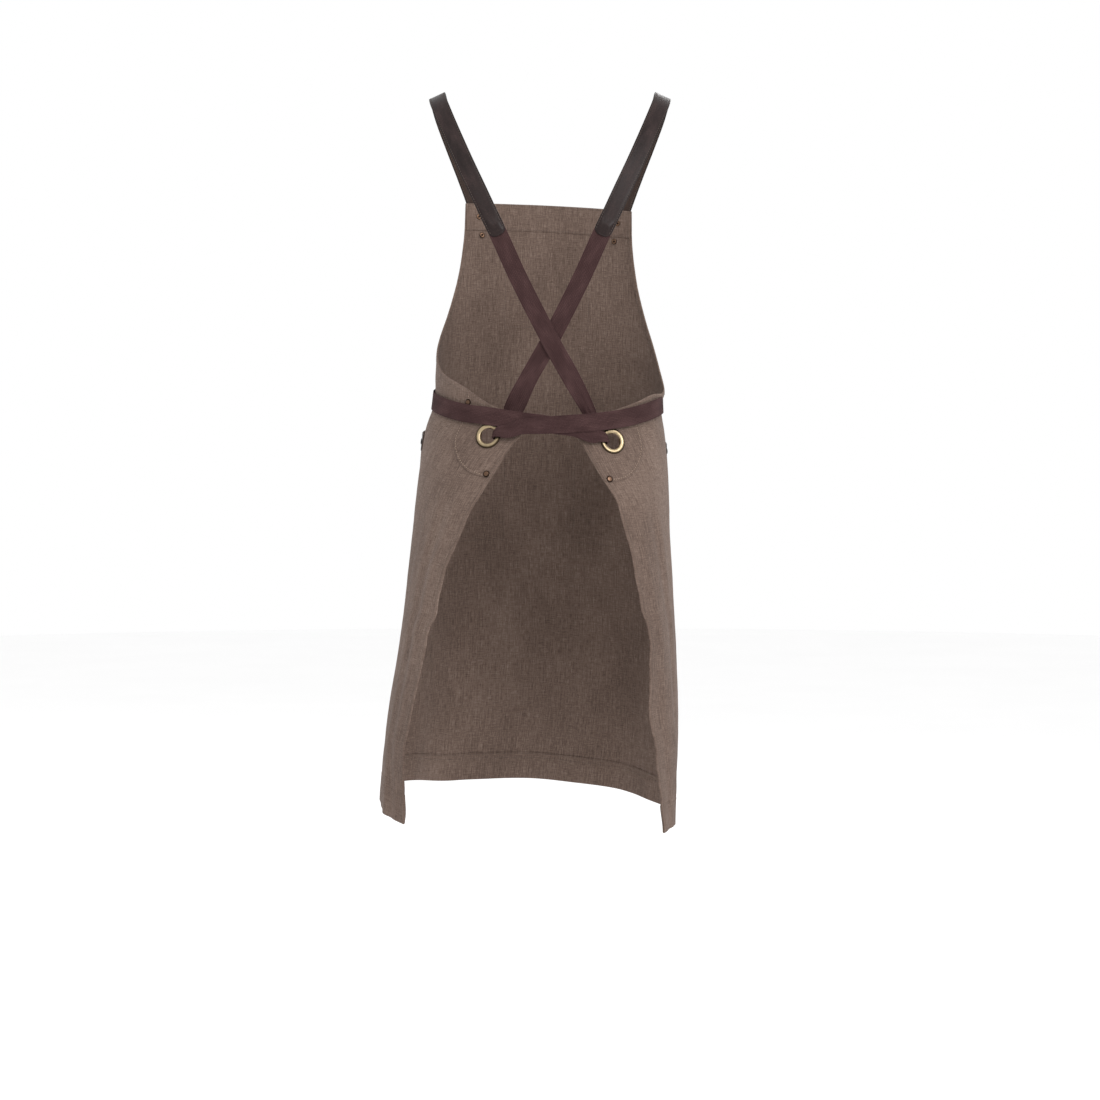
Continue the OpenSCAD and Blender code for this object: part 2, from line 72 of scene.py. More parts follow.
# How far the cloth has slipped round the form towards +X: height, distance
SLIPS = np.array([
    [-1000, 4], [-900, 0], [-800, 0], [-700, 3], [-560, 6], [-420, 6], [-300, 3], [-140, 0],
], float)
ARC = np.radians(np.arange(0, 181, 2.5))

HALF_W = 403.5
BIB_HALF = 130
BIB_Z, CORNER_Z, HEM_Z = -140, -420, -1000
HEM_DEPTH = 40
COLUMN_W = HALF_W / 16
JOIN_Z = CORNER_Z - 17
ROW_DROP = (JOIN_Z - HEM_Z - HEM_DEPTH) / 18
ARMHOLE = np.array([[BIB_HALF, BIB_Z], [BIB_HALF + 2, -365], [240, -375], [HALF_W, CORNER_Z]], float)
CLOTH_T = 1.3
SIDE_HEM, SIDE_SEAM = 6.5, 5.2
FACING_T, FACING_DEPTH = 1.0, 40
LAYER_GAP = 0.08  # between cloth and cloth sewn onto it


def unit(v):
    return v / np.linalg.norm(v, axis=-1, keepdims=True)


def run_length(path):
    """Distance travelled at each row of a path whose first three columns are places."""
    return np.concatenate([[0], np.cumsum(np.linalg.norm(np.diff(path[:, :3], axis=0), axis=1))])


def sample(path, at, where):
    """A path's rows at other distances along it."""
    return np.stack([np.interp(where, at, column) for column in path.T], -1)


def slopes(rows, at):
    """The slope of a table at each of its rows, from the rows before and after."""
    n = len(rows)
    low, high = np.maximum(np.arange(n) - 1, 0), np.minimum(np.arange(n) + 1, n - 1)
    return (rows[high] - rows[low]) / (at[high] - at[low])[:, None]


def cubic(p, m, q, k, h, t):
    return ((2 * t**3 - 3 * t**2 + 1) * p + (t**3 - 2 * t**2 + t) * h * m
            + (3 * t**2 - 2 * t**3) * q + (t**3 - t**2) * h * k)


def girth(z):
    """The oval at each height."""
    z = np.asarray(z, float)
    slope = slopes(STATIONS, STATIONS[:, 0])
    i = np.clip(np.searchsorted(-STATIONS[:, 0], -z, side="right") - 1, 0, len(STATIONS) - 2)
    h = (STATIONS[i + 1, 0] - STATIONS[i, 0])[..., None]
    t = (z[..., None] - STATIONS[i, :1].reshape(z.shape + (1,))) / h
    return cubic(STATIONS[i], slope[i], STATIONS[i + 1], slope[i + 1], h, t)


def drop(angle):
    """How far a level line of the cut rises or falls on its way round."""
    return -BACK_DROP * (1 - np.cos(angle)) + SIDE_DROP * np.sin(angle)


def oval_point(g, angle, n):
    sin, cos = np.sin(angle), np.cos(angle)
    out = unit(np.stack([sin / g[..., 1], -cos / g[..., 2], 0 * sin], -1))
    place = np.stack(
        [g[..., 3] + g[..., 1] * sin, g[..., 4] - g[..., 2] * cos, g[..., 0] + drop(angle)], -1
    )
    return place + np.asarray(n, float)[..., None] * out


def cloth(s, z, n=0.0):
    """Points of the cloth from arc length, cut height and distance outside its middle."""
    s, z, n = np.broadcast_arrays(*(np.asarray(v, float) for v in (s, z, n)))
    shape = s.shape
    s, z, n = s.ravel() + np.interp(z.ravel(), SLIPS[:, 0], SLIPS[:, 1]), z.ravel(), n.ravel()
    g = girth(z)
    across = g[:, 1:2] * np.diff(np.sin(ARC))
    along = g[:, 2:3] * np.diff(np.cos(ARC))
    arc = np.concatenate([np.zeros((len(s), 1)), np.cumsum(np.hypot(across, along), 1)], 1)
    i = np.clip((arc <= np.abs(s)[:, None]).sum(1) - 1, 0, len(ARC) - 2)
    row = np.arange(len(s))
    part = (np.abs(s) - arc[row, i]) / (arc[row, i + 1] - arc[row, i])
    angle = np.sign(s) * (ARC[i] + part * (ARC[1] - ARC[0]))
    return oval_point(g, angle, n).reshape(shape + (3,))


def form(angle, z, n):
    """A point by angle in degrees and true height, n outward from the form, and that direction."""
    def at(a, height):
        a = np.array(math.radians(a))
        return oval_point(girth(height - drop(a)), a, 0.0)

    out = unit(np.cross(at(angle + 1, z) - at(angle - 1, z), at(angle, z + 1) - at(angle, z - 1)))
    return at(angle, z) + n * out, out


def axes_on(surface, s, z):
    """Origin on cloth or dress, then unit vectors along the girth, up and outward."""
    along = unit(surface(s + 1, z) - surface(s - 1, z))
    out = unit(np.cross(along, unit(surface(s, z + 1) - surface(s, z - 1))))
    return surface(s, z), along, np.cross(out, along), out


# ---------------------------------------------------------------- the panel's cut
def bezier(p, t):
    t = np.asarray(t, float)[..., None]
    return (1 - t) ** 3 * p[0] + 3 * t * (1 - t) ** 2 * p[1] + 3 * t**2 * (1 - t) * p[2] + t**3 * p[3]


ARMHOLE_LINE = bezier(ARMHOLE, np.linspace(0, 1, 81))


def top_edge(s):
    return np.interp(np.abs(s), ARMHOLE_LINE[:, 0], ARMHOLE_LINE[:, 1])


def nearest(*distances):
    return np.minimum.reduce(np.broadcast_arrays(*distances))


def side_distance(s, z):
    """Distance in the flat cut to the armholes and the rear edges."""
    s, z = np.broadcast_arrays(np.abs(np.asarray(s, float)), np.asarray(z, float))
    best = HALF_W - s
    for a, b in zip(ARMHOLE_LINE[:-1], ARMHOLE_LINE[1:]):
        d = b - a
        t = np.clip(((s - a[0]) * d[0] + (z - a[1]) * d[1]) / (d @ d), 0, 1)
        best = np.minimum(best, np.hypot(s - a[0] - t * d[0], z - a[1] - t * d[1]))
    return np.maximum(best, 0)


def edge_distance(s, z):
    """Distance in the flat cut to any edge."""
    return np.maximum(nearest(side_distance(s, z), z - HEM_Z, BIB_Z - z), 0)


def smoothstep(a, b, x):
    t = np.clip((x - a) / (b - a), 0, 1)
    return t * t * (3 - 2 * t)


def bump(x, middle, width):
    return np.exp(-(((x - middle) / width) ** 2))


def rumple(s, z, scale, seed):
    """Smooth seeded noise over the cut, about -1 to 1."""
    flat = [noise.noise(Vector((a / scale, b / scale, seed))) for a, b in zip(np.ravel(s), np.ravel(z))]
    return np.reshape(flat, np.shape(s))


# Soft folds of the skirt: place along the hem, lean towards it, width, depth at the hem
FOLDS = [
    (-352, 26, 20, 2.6), (-318, 12, 17, -3.0), (-262, -16, 26, 3.6), (-205, 8, 22, -3.0),
    (-140, -6, 30, 4.6), (-72, 5, 26, -3.6), (-8, -4, 30, 4.2), (62, 6, 24, -3.8),
    (128, 10, 28, 4.8), (194, -8, 24, -6.5), (254, 12, 26, 3.8), (320, -12, 20, 2.2),
    (362, -20, 18, 4.6),
]
# The ties' middle in the cut: arc length, cut height
BELT_ROWS = np.array([
    [-400, -423], [-352, -417.6], [-318, -413.4], [-290, -409.5], [-258, -406], [-126, -405.5],
    [-62, -405.8], [0, -408], [50, -411.3], [114, -415.8], [208, -416.5], [280, -418.6], [400, -421],
])
# How far the rear edges stray towards the front: height, distance
REAR_STRAY = {
    "left": np.array([
        [-1000, -4], [-930, 0], [-875, 5], [-800, 4], [-752, 4], [-728, 10], [-700, 2], [-636, 4],
        [-562, 1], [-500, -1], [-460, 3], [-420, 3],
    ], float),
    "right": np.array([
        [-1000, 16], [-953, 13], [-890, 1], [-828, -8], [-760, -3], [-710, 2], [-680, -2],
        [-610, -1], [-528, 3], [-491, -2], [-420, -2],
    ], float),
}


def belt_row(s):
    return np.interp(s, BELT_ROWS[:, 0], BELT_ROWS[:, 1])


def eased(x, table):
    """Values between a table's places, level at each of them."""
    i = np.clip(np.searchsorted(table[:, 0], x, side="right") - 1, 0, len(table) - 2)
    return table[i, 1] + (table[i + 1, 1] - table[i, 1]) * smoothstep(table[i, 0], table[i + 1, 0], x)


def settle(s, z):
    """Where a point of the cut has slid to: the armholes' edges sag or ride up above the ties,
    and the rear edges wander."""
    s, z = np.broadcast_arrays(np.asarray(s, float), np.asarray(z, float))
    belt = belt_row(s)
    rise = 7 * bump(s, 292, 34) * smoothstep(belt + 4, top_edge(s), z) ** 2
    sag = (26 * bump(s, -222, 34) + 2.5 * bump(s, -285, 40)) * smoothstep(belt - 12, top_edge(s), z)
    # the hem hangs higher at the wearer's left, and a little at the right rear corner
    lift = 17 * smoothstep(110, 225, s) - 8 * smoothstep(270, 400, s) + 3.5 * smoothstep(-240, -380, s)
    lift = lift * smoothstep(-860, -975, z)
    stray = np.where(s > 0, eased(z, REAR_STRAY["left"]), eased(z, REAR_STRAY["right"]))
    stray = stray + 0.8 * np.sin(z / 8.2 + 2 * np.sin(z / 37) + s / 300) * smoothstep(-490, -540, z)
    stray = stray * smoothstep(HALF_W - 120, HALF_W, np.abs(s)) * (1 - near_eyelet(s, z))
    return s - np.sign(s) * stray, z + rise - sag + lift


def drape(s, z):
    """How far the hanging cloth stands off the plain form, in millimetres."""
    s, z = np.asarray(s, float), np.asarray(z, float)
    low = smoothstep(-470, -1000, z)
    n = 0 * s
    for place, lean, width, depth in FOLDS:
        n = n + depth * low * bump(s, place - lean * (1 - low), width * (1.3 - 0.3 * low))
    # it fills out just above and below the ties
    belt = belt_row(s)
    waist = smoothstep(385, 340, np.abs(s))
    n = n + waist * (1.0 * bump(z, belt - 36, 20) + 0.8 * bump(z, belt + 32, 16))
    # gathers under the ties at the sides
    gather = np.sin(s / 9.5 + 1.3 * np.sin(s / 31)) * bump(z, belt - 28, 24)
    n = n + 0.55 * gather * bump(np.abs(s), 285, 60)
    # the right armhole's edge flares out above the tie
    n = n + 4.8 * smoothstep(belt + 10, top_edge(s), z) * bump(s, -222, 22)
    # narrow folds down the rear wings
    wing = smoothstep(285, 345, np.abs(s)) * smoothstep(396, 366, np.abs(s)) * smoothstep(-500, -620, z)
    n = n + wing * (1.5 * np.sin(s / 7.5 + 0.9 * np.sin(z / 130)) + 0.9 * np.sin(s / 4.3 + z / 160))
    # wavy rear edges
    rear = smoothstep(60, 0, HALF_W - np.abs(s)) * smoothstep(-500, -600, z)
    n = n + rear * (1.2 * np.sin(z / 21 + np.sign(s)) + 1.2 * np.sin(z / 47 + 2 * np.sign(s)))
    # the bib's top edge eases outward between the straps
    n = n + 1.6 * bump(z, BIB_Z, 60) * np.cos(s / 52)
    n = n + 1.1 * rumple(s, z, 95, 3.1) + 0.45 * rumple(s, z, 34, 7.7) + 0.16 * rumple(s, z, 12, 1.9)
    # the ties and the bow's tails keep it down
    free = np.minimum(
        1.0 + 9 * smoothstep(13, 32, np.abs(z - belt)),
        1.9 + 9 * np.maximum(smoothstep(24, 60, np.abs(s)), smoothstep(-740, -810, z)),
    )
    n = -0.5 * np.logaddexp(-n / 0.5, -free / 0.5)
    return n * calm(s, z)


# ---------------------------------------------------------------- things set into the cloth
EYELET_S, EYELET_Z = HALF_W - 44.75, CORNER_Z - 26
EYELET_HOLE = 13.0
PATCH_RIVETS = [(HALF_W - 98, CORNER_Z + 15), (HALF_W - 10, CORNER_Z - 78)]
BIB_PLACES = [(100, -195), (106, -165), (113, -141)]
STRAP_RIVETS = [(101.6, -187), (107.2, -160)]
HIP_S, HIP_Z = (2 * COLUMN_W, 9 * COLUMN_W), (JOIN_Z - ROW_DROP, JOIN_Z - 7 * ROW_DROP)
CHEST_S, CHEST_Z = (-65, 65), (-195, -325)
POCKET_RIVET = 8
TRIM_DEPTH = 25
CALMED = 0.95


def near_eyelet(s, z):
    return smoothstep(42, 20, np.hypot(np.abs(s) - EYELET_S, z - EYELET_Z))


def calm(s, z):
    """The folds die away next to the eyelets, the straps' sewn ends and the rivets."""
    s, z = np.abs(np.asarray(s, float)), np.asarray(z, float)
    # the straps' ends lie along a short line on the bib
    (end_s, end_z), (far_s, far_z) = BIB_PLACES[0], BIB_PLACES[-1]
    along = np.clip((z - end_z) / (far_z - end_z), 0, 1)
    off = np.hypot(s - end_s - (far_s - end_s) * along, z - end_z - (far_z - end_z) * along)
    keep = (1 - CALMED * near_eyelet(s, z)) * (1 - CALMED * smoothstep(32, 15, off))
    for a, b in PATCH_RIVETS:
        keep = keep * (1 - CALMED * smoothstep(18, 7, np.hypot(s - a, z - b)))
    return keep


def dress(s, z, n=0.0):
    """Points of the draped cloth, or this far outside its middle."""
    return cloth(*settle(s, z), drape(s, z) + n)


# ---------------------------------------------------------------- mesh builders
def new_object(name, points, faces, uv=None):
    """A mesh object from points in millimetres; uv holds one pair per point, in metres."""
    mesh = bpy.data.meshes.new(name)
    mesh.from_pydata([tuple(p) for p in np.asarray(points, float) * MM], [], [tuple(f) for f in faces])
    if uv is not None:
        layer = mesh.uv_layers.new(name="cut")
        corners = np.empty(len(mesh.loops), np.int32)
        mesh.loops.foreach_get("vertex_index", corners)
        layer.data.foreach_set("uv", np.asarray(uv, np.float32)[corners].ravel())
    mesh.polygons.foreach_set("use_smooth", np.ones(len(mesh.polygons), bool))
    mesh.validate()
    obj = bpy.data.objects.new(name, mesh)
    bpy.context.scene.collection.objects.link(obj)
    return obj


def shell(name, outer, inner, uv, keep=None):
    """Closed sheet between two grids of points. keep marks the grid's cells that are filled."""
    rows, cols = outer.shape[:2]
    keep = np.ones((rows - 1, cols - 1), bool) if keep is None else keep
    index = np.arange(rows * cols).reshape(rows, cols)
    back = rows * cols
    faces, sides = [], {}
    for i, j in zip(*np.nonzero(keep)):
        a, b, c, d = index[i, j], index[i, j + 1], index[i + 1, j + 1], index[i + 1, j]
        faces.append((d, c, b, a))
        faces.append((a + back, b + back, c + back, d + back))
        for p, q in ((a, b), (b, c), (c, d), (d, a)):
            if not sides.pop((q, p), False):
                sides[p, q] = True
    faces += [(p, q, q + back, p + back) for p, q in sides]
    points = np.vstack([outer.reshape(-1, 3), inner.reshape(-1, 3)])
    used = sorted({v for f in faces for v in f})
    renumber = {v: k for k, v in enumerate(used)}
    faces = [tuple(renumber[v] for v in f) for f in faces]
    uv = np.vstack([uv.reshape(-1, 2)] * 2)
    return new_object(name, points[used], faces, uv[used])


def round_edge(d, r, least=0.05):
    """Thickness factor that rounds an edge, from the distance to it."""
    t = np.clip(np.asarray(d, float) / r, 0, 1)
    return np.sqrt(np.clip(1 - (1 - t) ** 2, least, 1))


def fine(a, b, step):
    """Even places from a to b, no further apart than step."""
    return np.linspace(a, b, max(2, int(math.ceil(abs(b - a) / step)) + 1))


def close_ends(a, b, near, gap, step):
    """Places from a to b: the near ones at both ends, and even ones from gap onward."""
    way = np.sign(b - a)
    near = way * np.array(near)
    return np.concatenate([a + near, fine(a + way * gap, b - way * gap, step), b - near[::-1]])


def mirrored(half):
    """Places on both sides of zero, from those on one side."""
    return np.concatenate([-np.array(half[:0:-1], float), half])


def grid(rows, columns):
    return np.meshgrid(columns, rows)


NEAR_EDGE = np.array([0, 0.25, 0.6, 1.0, 2.4, 4.4, 6.2, 7.0, 7.7, 8.6, 10.5])
LEVEL_Z = -470  # the panel grid's rows are level from here down


def panel_columns():
    """Arc lengths of the panel's columns, close together at the rear edges and steep armholes."""
    steep = [
        126, 128, BIB_HALF, 131, 132, 133, 134.5, 136, 138,
        140, 142.5, 145, 148, 151.5, 155, 159, 163, 167.5,
    ]
    rear = HALF_W - NEAR_EDGE[::-1]
    return mirrored(np.concatenate([fine(0, 122, 5), steep, fine(172, HALF_W - 14, 4.4), rear]))


def panel_grid():
    """The cut as a grid: the upper rows follow the armholes, the lower ones are level."""
    s = panel_columns()
    share = np.concatenate([NEAR_EDGE / 200, np.linspace(0.07, 1, 50)])
    upper = top_edge(s) + (LEVEL_Z - top_edge(s)) * share[:, None]
    near_hem = np.array([43, 41, 40.4, 39.6, 38.4, 36.5, 32, 27, 22, 17, 12, 7, 4, 2, 1, 0.6, 0.25, 0])
    lower = np.concatenate([fine(LEVEL_Z, HEM_Z + 46, 5.6)[1:], HEM_Z + near_hem])
    z = np.vstack([upper, np.repeat(lower[:, None], len(s), 1)])
    return np.repeat(s[None], len(z), 0), z


def make_hole(s, z, middle, radius):
    """Moves the grid's points next to a round hole onto its rim; also returns the cells to keep."""
    ds, dz = s - middle[0], z - middle[1]
    r = np.hypot(ds, dz)
    inside = r < radius
    gone = inside[:-1, :-1] | inside[1:, :-1] | inside[:-1, 1:] | inside[1:, 1:]
    rim = np.zeros_like(inside)
    for rows in (slice(None, -1), slice(1, None)):
        for columns in (slice(None, -1), slice(1, None)):
            rim[rows, columns] |= gone
    factor = np.where(rim & ~inside, radius / np.maximum(r, 1e-6), 1)
    return middle[0] + ds * factor, middle[1] + dz * factor, ~gone


# ---------------------------------------------------------------- materials
def linear(r, g, b):
    """sRGB, above its short straight part (11 to 255), to linear."""
    return tuple(((c / 255 + 0.055) / 1.055) ** 2.4 for c in (r, g, b)) + (1,)


class Nodes:
    """Short hand for building one material's nodes."""

    def __init__(self, name):
        self.material = bpy.data.materials.new(name)
        self.material.use_nodes = True
        self.tree = self.material.node_tree
        self.surface = self.tree.nodes["Principled BSDF"]
        self.uv = self.put("UVMap", uv_map="cut")

    def put(self, kind, inputs=(), output=0, **settings):
        node = self.tree.nodes.new("ShaderNode" + kind)
        for key, value in settings.items():
            setattr(node, key, value)
        self.feed(node, dict(inputs))
        return node.outputs[output]

    def feed(self, node, inputs):
        for key, value in inputs.items():
            if isinstance(value, bpy.types.NodeSocket):
                self.tree.links.new(value, node.inputs[key])
            else:
                node.inputs[key].default_value = value

    def math(self, operation, *values):
        return self.put("Math", enumerate(values), operation=operation)

    def noise(self, scale, detail=2.0, rough=0.5, vector=None):
        """Noise with its own scale along each axis of the cut, per metre."""
        place = self.put("VectorMath", {0: vector or self.uv, 1: scale}, operation="MULTIPLY")
        inputs = {"Vector": place, "Scale": 1.0, "Detail": detail, "Roughness": rough}
        return self.put("TexNoise", inputs)

    def wave(self, direction, pitch, distortion=0.0):
        """Stripes this many metres apart; Blender's wave repeats every 0.314 units at scale 1."""
        scale = 0.31416 / pitch
        inputs = {"Vector": self.uv, "Scale": scale, "Distortion": distortion, "Detail": 1.0}
        return self.put("TexWave", inputs, output=1, bands_direction=direction)

    def sum(self, *terms):
        """Weighted sum of values whose middle is a half."""
        total = 0.5
        for value, weight in terms:
            part = self.math("MULTIPLY", self.math("SUBTRACT", value, 0.5), weight)
            total = self.math("ADD", total, part)
        return total

    def ramp(self, value, *stops):
        node = self.tree.nodes.new("ShaderNodeValToRGB")
        self.tree.links.new(value, node.inputs[0])
        ramp = node.color_ramp
        while len(ramp.elements) < len(stops):
            ramp.elements.new(0.5)
        for element, (place, colour) in zip(ramp.elements, stops):
            element.position = place
            element.color = colour
        return node.outputs[0]

    def mix(self, fac, a, b):
        return self.put("Mix", {0: fac, 6: a, 7: b}, output=2, data_type="RGBA")

    def bump(self, height, distance, strength):
        return self.put("Bump", {"Height": height, "Distance": distance, "Strength": strength})

    def done(self, **inputs):
        self.feed(self.surface, {key.replace("_", " "): value for key, value in inputs.items()})
        return self.material


def cloth_material():
    m = Nodes("apron_cloth")
    shifted = m.put("VectorMath", {0: m.uv, 1: (3.1, 1.7, 0)}, operation="ADD")
    warp = m.noise((1500, 110, 1), 3)
    weft = m.noise((110, 1500, 1), 3)
    long_slub = m.noise((800, 26, 1), 2, vector=shifted)
    cross_slub = m.noise((40, 800, 1), 2, vector=shifted)
    speck = m.noise((900, 900, 1), 2, 0.7)
    wash = m.noise((9, 5, 1), 3)
    shade = m.sum(
        (warp, 0.85), (weft, 0.7), (long_slub, 0.6), (cross_slub, 0.35), (speck, 0.55), (wash, 0.5),
    )
    colour = m.ramp(
        shade, (0.12, linear(70, 57, 50)), (0.5, linear(101, 84, 75)), (0.9, linear(136, 118, 107))
    )
    threads = [(m.wave(direction, 0.00095, 1.5), 0.5) for direction in "XY"]
    weave = m.sum(*threads, (warp, 0.9), (weft, 0.7))
    return m.done(
        Base_Color=colour, Roughness=0.92, Specular_IOR_Level=0.2, Sheen_Weight=0.05,
        Sheen_Roughness=0.5, Normal=m.bump(weave, 0.0004, 0.6),
    )


def webbing_material():
    m = Nodes("webbing")
    ribs = m.wave("Y", 0.0017, 0.6)
    cords = m.wave("X", 0.0022, 0.3)
    yarn = m.noise((500, 1800, 1), 2)
    # noise patches that stand for wear and for painted highlights on creases
    wear_and_crease_highlight = m.noise((60, 25, 1), 3)
    shade = m.sum((ribs, 0.25), (cords, 0.12), (yarn, 0.8), (wear_and_crease_highlight, 0.75))
    colour = m.ramp(
        shade, (0.1, linear(40, 27, 27)), (0.5, linear(60, 42, 42)), (0.92, linear(88, 66, 65))
    )
    return m.done(
        Base_Color=colour, Roughness=0.9, Specular_IOR_Level=0.08,
        Normal=m.bump(m.sum((ribs, 0.7), (cords, 0.25), (yarn, 0.4)), 0.00045, 0.7),
    )


def leather_material(name, dark, middle, light, rough):
    m = Nodes(name)
    across = m.math("ABSOLUTE", m.put("SeparateXYZ", {0: m.uv}))
    edge = m.put("MapRange", {0: across, 1: 0.0109, 2: 0.0125, 3: 0.0, 4: 1.0})
    grain = m.put("TexVoronoi", {"Vector": m.uv, "Scale": 900.0}, feature="SMOOTH_F1")
    pores = m.noise((1300, 1300, 1), 3, 0.6)
    scuff = m.noise((70, 22, 1), 4, 0.6)
    shade = m.sum((grain, 0.3), (pores, 0.45), (scuff, 0.8))
    colour = m.mix(edge, m.ramp(shade, (0.15, dark), (0.5, middle), (0.9, light)), dark)
    height = m.sum((grain, 0.5), (pores, 0.7), (scuff, 0.4))
    gloss = m.put("MapRange", {0: scuff, 1: 0.3, 2: 0.7, 3: rough - 0.08, 4: rough + 0.12})
    return m.done(
        Base_Color=colour, Roughness=gloss, Specular_IOR_Level=0.17,
        Normal=m.bump(height, 0.00022, 0.7),
    )


def brass_material(name, pale, dark, rough):
    """Antique brass with painted shade: UV x runs over the profile from the bore or the middle to the
    rim, and the brass is painted darker over the outer part of that run.
    """
    m = Nodes(name)
    place = m.put("NewGeometry")
    tarnish = m.noise((70, 70, 70), 3, 0.55, vector=place)
    spots = m.noise((900, 900, 900), 2, 0.6, vector=place)
    across = m.put("SeparateXYZ", {0: m.uv})
    # painted shade: the tarnished colour is mixed towards dark over the outer part of each profile, on
    # the eyelet's rolled rim and the rivet domes' edges
    rim = m.put("MapRange", {0: across, 1: 0.58, 2: 0.8, 3: 0.0, 4: 0.95})
    shade = m.sum((tarnish, 0.9), (spots, 0.12))
    colour = m.mix(rim, m.ramp(shade, (0.1, dark), (0.5, pale), (0.9, pale)), dark)
    gloss = m.put("MapRange", {0: shade, 1: 0.2, 2: 0.8, 3: rough + 0.12, 4: rough})
    return m.done(
        Base_Color=colour, Metallic=1.0, Roughness=gloss, Normal=m.bump(spots, 0.00002, 0.4)
    )


def thread_material(name, colour):
    m = Nodes(name)
    twist = m.noise((2600, 2600, 2600), 2, vector=m.put("NewGeometry"))
    light = tuple(min(1, c * 1.25) for c in colour[:3]) + (1,)
    dark = tuple(c * 0.7 for c in colour[:3]) + (1,)
    return m.done(
        Base_Color=m.ramp(twist, (0.25, dark), (0.75, light)), Roughness=0.75,
        Normal=m.bump(twist, 0.0002, 0.6),
    )


def floor_material():
    m = Nodes("studio_floor")
    soft = m.noise((3, 3, 3), 2, vector=m.put("NewGeometry"))
    white = m.ramp(soft, (0, (0.95, 0.95, 0.95, 1)), (1, (0.98, 0.98, 0.98, 1)))
    return m.done(Base_Color=white, Roughness=0.95)


MATERIALS = {
    "apron_cloth": cloth_material(),
    "webbing": webbing_material(),
    "dark_leather": leather_material(
        "dark_leather", linear(19, 13, 12), linear(38, 28, 27), linear(66, 51, 49), 0.36
    ),
    "strap_lining": leather_material(
        "strap_lining", linear(34, 26, 23), linear(54, 42, 37), linear(78, 63, 55), 0.75
    ),
    # the dark brass colours serve the tarnish and the painted shade towards the rims
    "eyelet_brass": brass_material("eyelet_brass", linear(170, 152, 122), linear(46, 35, 25), 0.3),
    "rivet_brass": brass_material("rivet_brass", linear(104, 81, 66), linear(27, 21, 18), 0.24),
    "light_thread": thread_material("light_thread", linear(158, 138, 120)),
    "dark_thread": thread_material("dark_thread", linear(84, 71, 64)),
}


def finish_piece(obj, slot, *nodes, material=None):
    """Gives a piece its finish, lets it ride on the worn apron and stand for its CAD nodes."""
    obj.data.materials.append(MATERIALS[material or slot])
    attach(obj, ROOT)
    if nodes:
        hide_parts(*nodes)


# ---------------------------------------------------------------- straps and ties: routes
STRAP_W, LEATHER_T, WEBBING_T = 25, 1.1, 1.6
WEBBING_DRAWN_T = WEBBING_T * 0.92
BUNCHED_W = 16
LAYER_HALF = LEATHER_T / 2 + 0.15
CAD_CLOTH_HALF = 0.8
STRAP_LIFT = CAD_CLOTH_HALF + 0.3 + LEATHER_T / 2 + LAYER_HALF

# Over the wearer's left shoulder: place, direction of the outer face, extra gap between the layers
SHOULDER = [
    ((124, -86, -104), (0.45, -0.88, 0.15), 0),
    ((140, -72, -62), (0.45, -0.75, 0.45), 0),
    ((154, -46, -24), (0.42, -0.5, 0.75), 0),
    ((161, -8, 1.2), (0.42, 0, 0.9), 0),
    ((157, 32, -14), (0.35, 0.5, 0.8), 0),
    ((140.6, 64, -55), (0.25, 0.8, 0.5), 0),
    ((119, 88, -105), (0.2, 0.93, 0.27), 0),
    ((98.2, 102, -150), (0.1, 0.98, 0.14), 0.6),
    ((86.3, 107.6, -176), (0.03, 1, 0.05), 1.3),
    ((69.8, 112.3, -210.8), (0, 1, 0), 1.5),
]
BACK = {
    "left": [(42, 115.5, -272), (-0.4, 116, -355), (-30, 112.5, -408)],
    "right": [(-42, 113.5, -272), (0, 112.4, -355), (30, 110, -408)],
}
# Through an eyelet, in the cloth's axes there: to the rear centre, outward, up; outer face; width
TURN_IN = {
    "left": [((25, -6.6, 46), (0.25, 1, 0), 20)],
    "right": [((24.5, -6.6, 46), (0.25, 1, 0), 28)],
}
THROUGH = [
    ((18, -7, 16), (0, 1, 0), BUNCHED_W),
    ((11, -6.8, 4), (0.3, 1, 0), 13),
    ((8.2, -2.8, 1.6), (1, 0.3, 0), 9.6),
    ((8.2, 1.6, 1.8), (1, 0, 0), 9.6),
]
TURN_OUT = {
    "left": [
        ((10.2, 5.2, 3.4), (0.8, -0.6, 0), 12.5),
        ((15.5, 6, 5.6), (0, -1, 0), BUNCHED_W),
        ((22, 5.4, 7.2), (0, -1, 0), 18),
        ((31, 4.4, 7.6), (0, -1, 0), 20),
    ],
    "right": [
        ((10.2, 5.6, 3.4), (0.8, -0.6, 0), 12.5),
        ((16, 6.8, 6.2), (0, -1, 0), BUNCHED_W),
        ((30, 7, 8.4), (0, -1, 0), 20),
    ],
}
# Round the waist: angle travelled from the front, true height, distance outside the cloth, width
BELT = {
    "left": [
        (167, -478, 6.5, 22), (180, -471, 6.2, 24), (195, -466, 6.2, 25), (210, -459, 6.7, 25),
        (223, -455, 5.6, 25), (235, -449, 4.9, 25), (250, -441, 3.8, 25), (270, -432, 3, 25),
        (290, -425, 3.2, 25), (315, -417, 3.1, 25), (340, -410, 3, 22),
    ],
    "right": [
        (168, -475.5, 8.8, 22), (180, -473, 8.8, 24), (190, -471, 9.2, 25), (200, -469, 9.4, 25),
        (210, -465.5, 9, 25), (223, -459.5, 7, 25), (235, -453, 5, 25), (250, -445, 3.9, 25),
        (270, -437, 3, 25), (290, -428, 2.8, 25), (315, -418, 2.8, 25), (340, -410, 3, 22),
    ],
}
BELT_STEP = 8
TIE_END = [((26, -115.2, -407.5), (-0.2, 1, 0), 15), ((15.4, -118.2, -408), (-0.3, 1, 0), 11)]

BOW = np.array([0, -122, -408.0])
# The knot's core: half its width, depth and height; the turn round it: the same of its path
CORE_HALF, WRAP_HALF, WRAP_W = (14.0, 4.9, 9.6), (1.4, 5.6, 11.3), 17.0
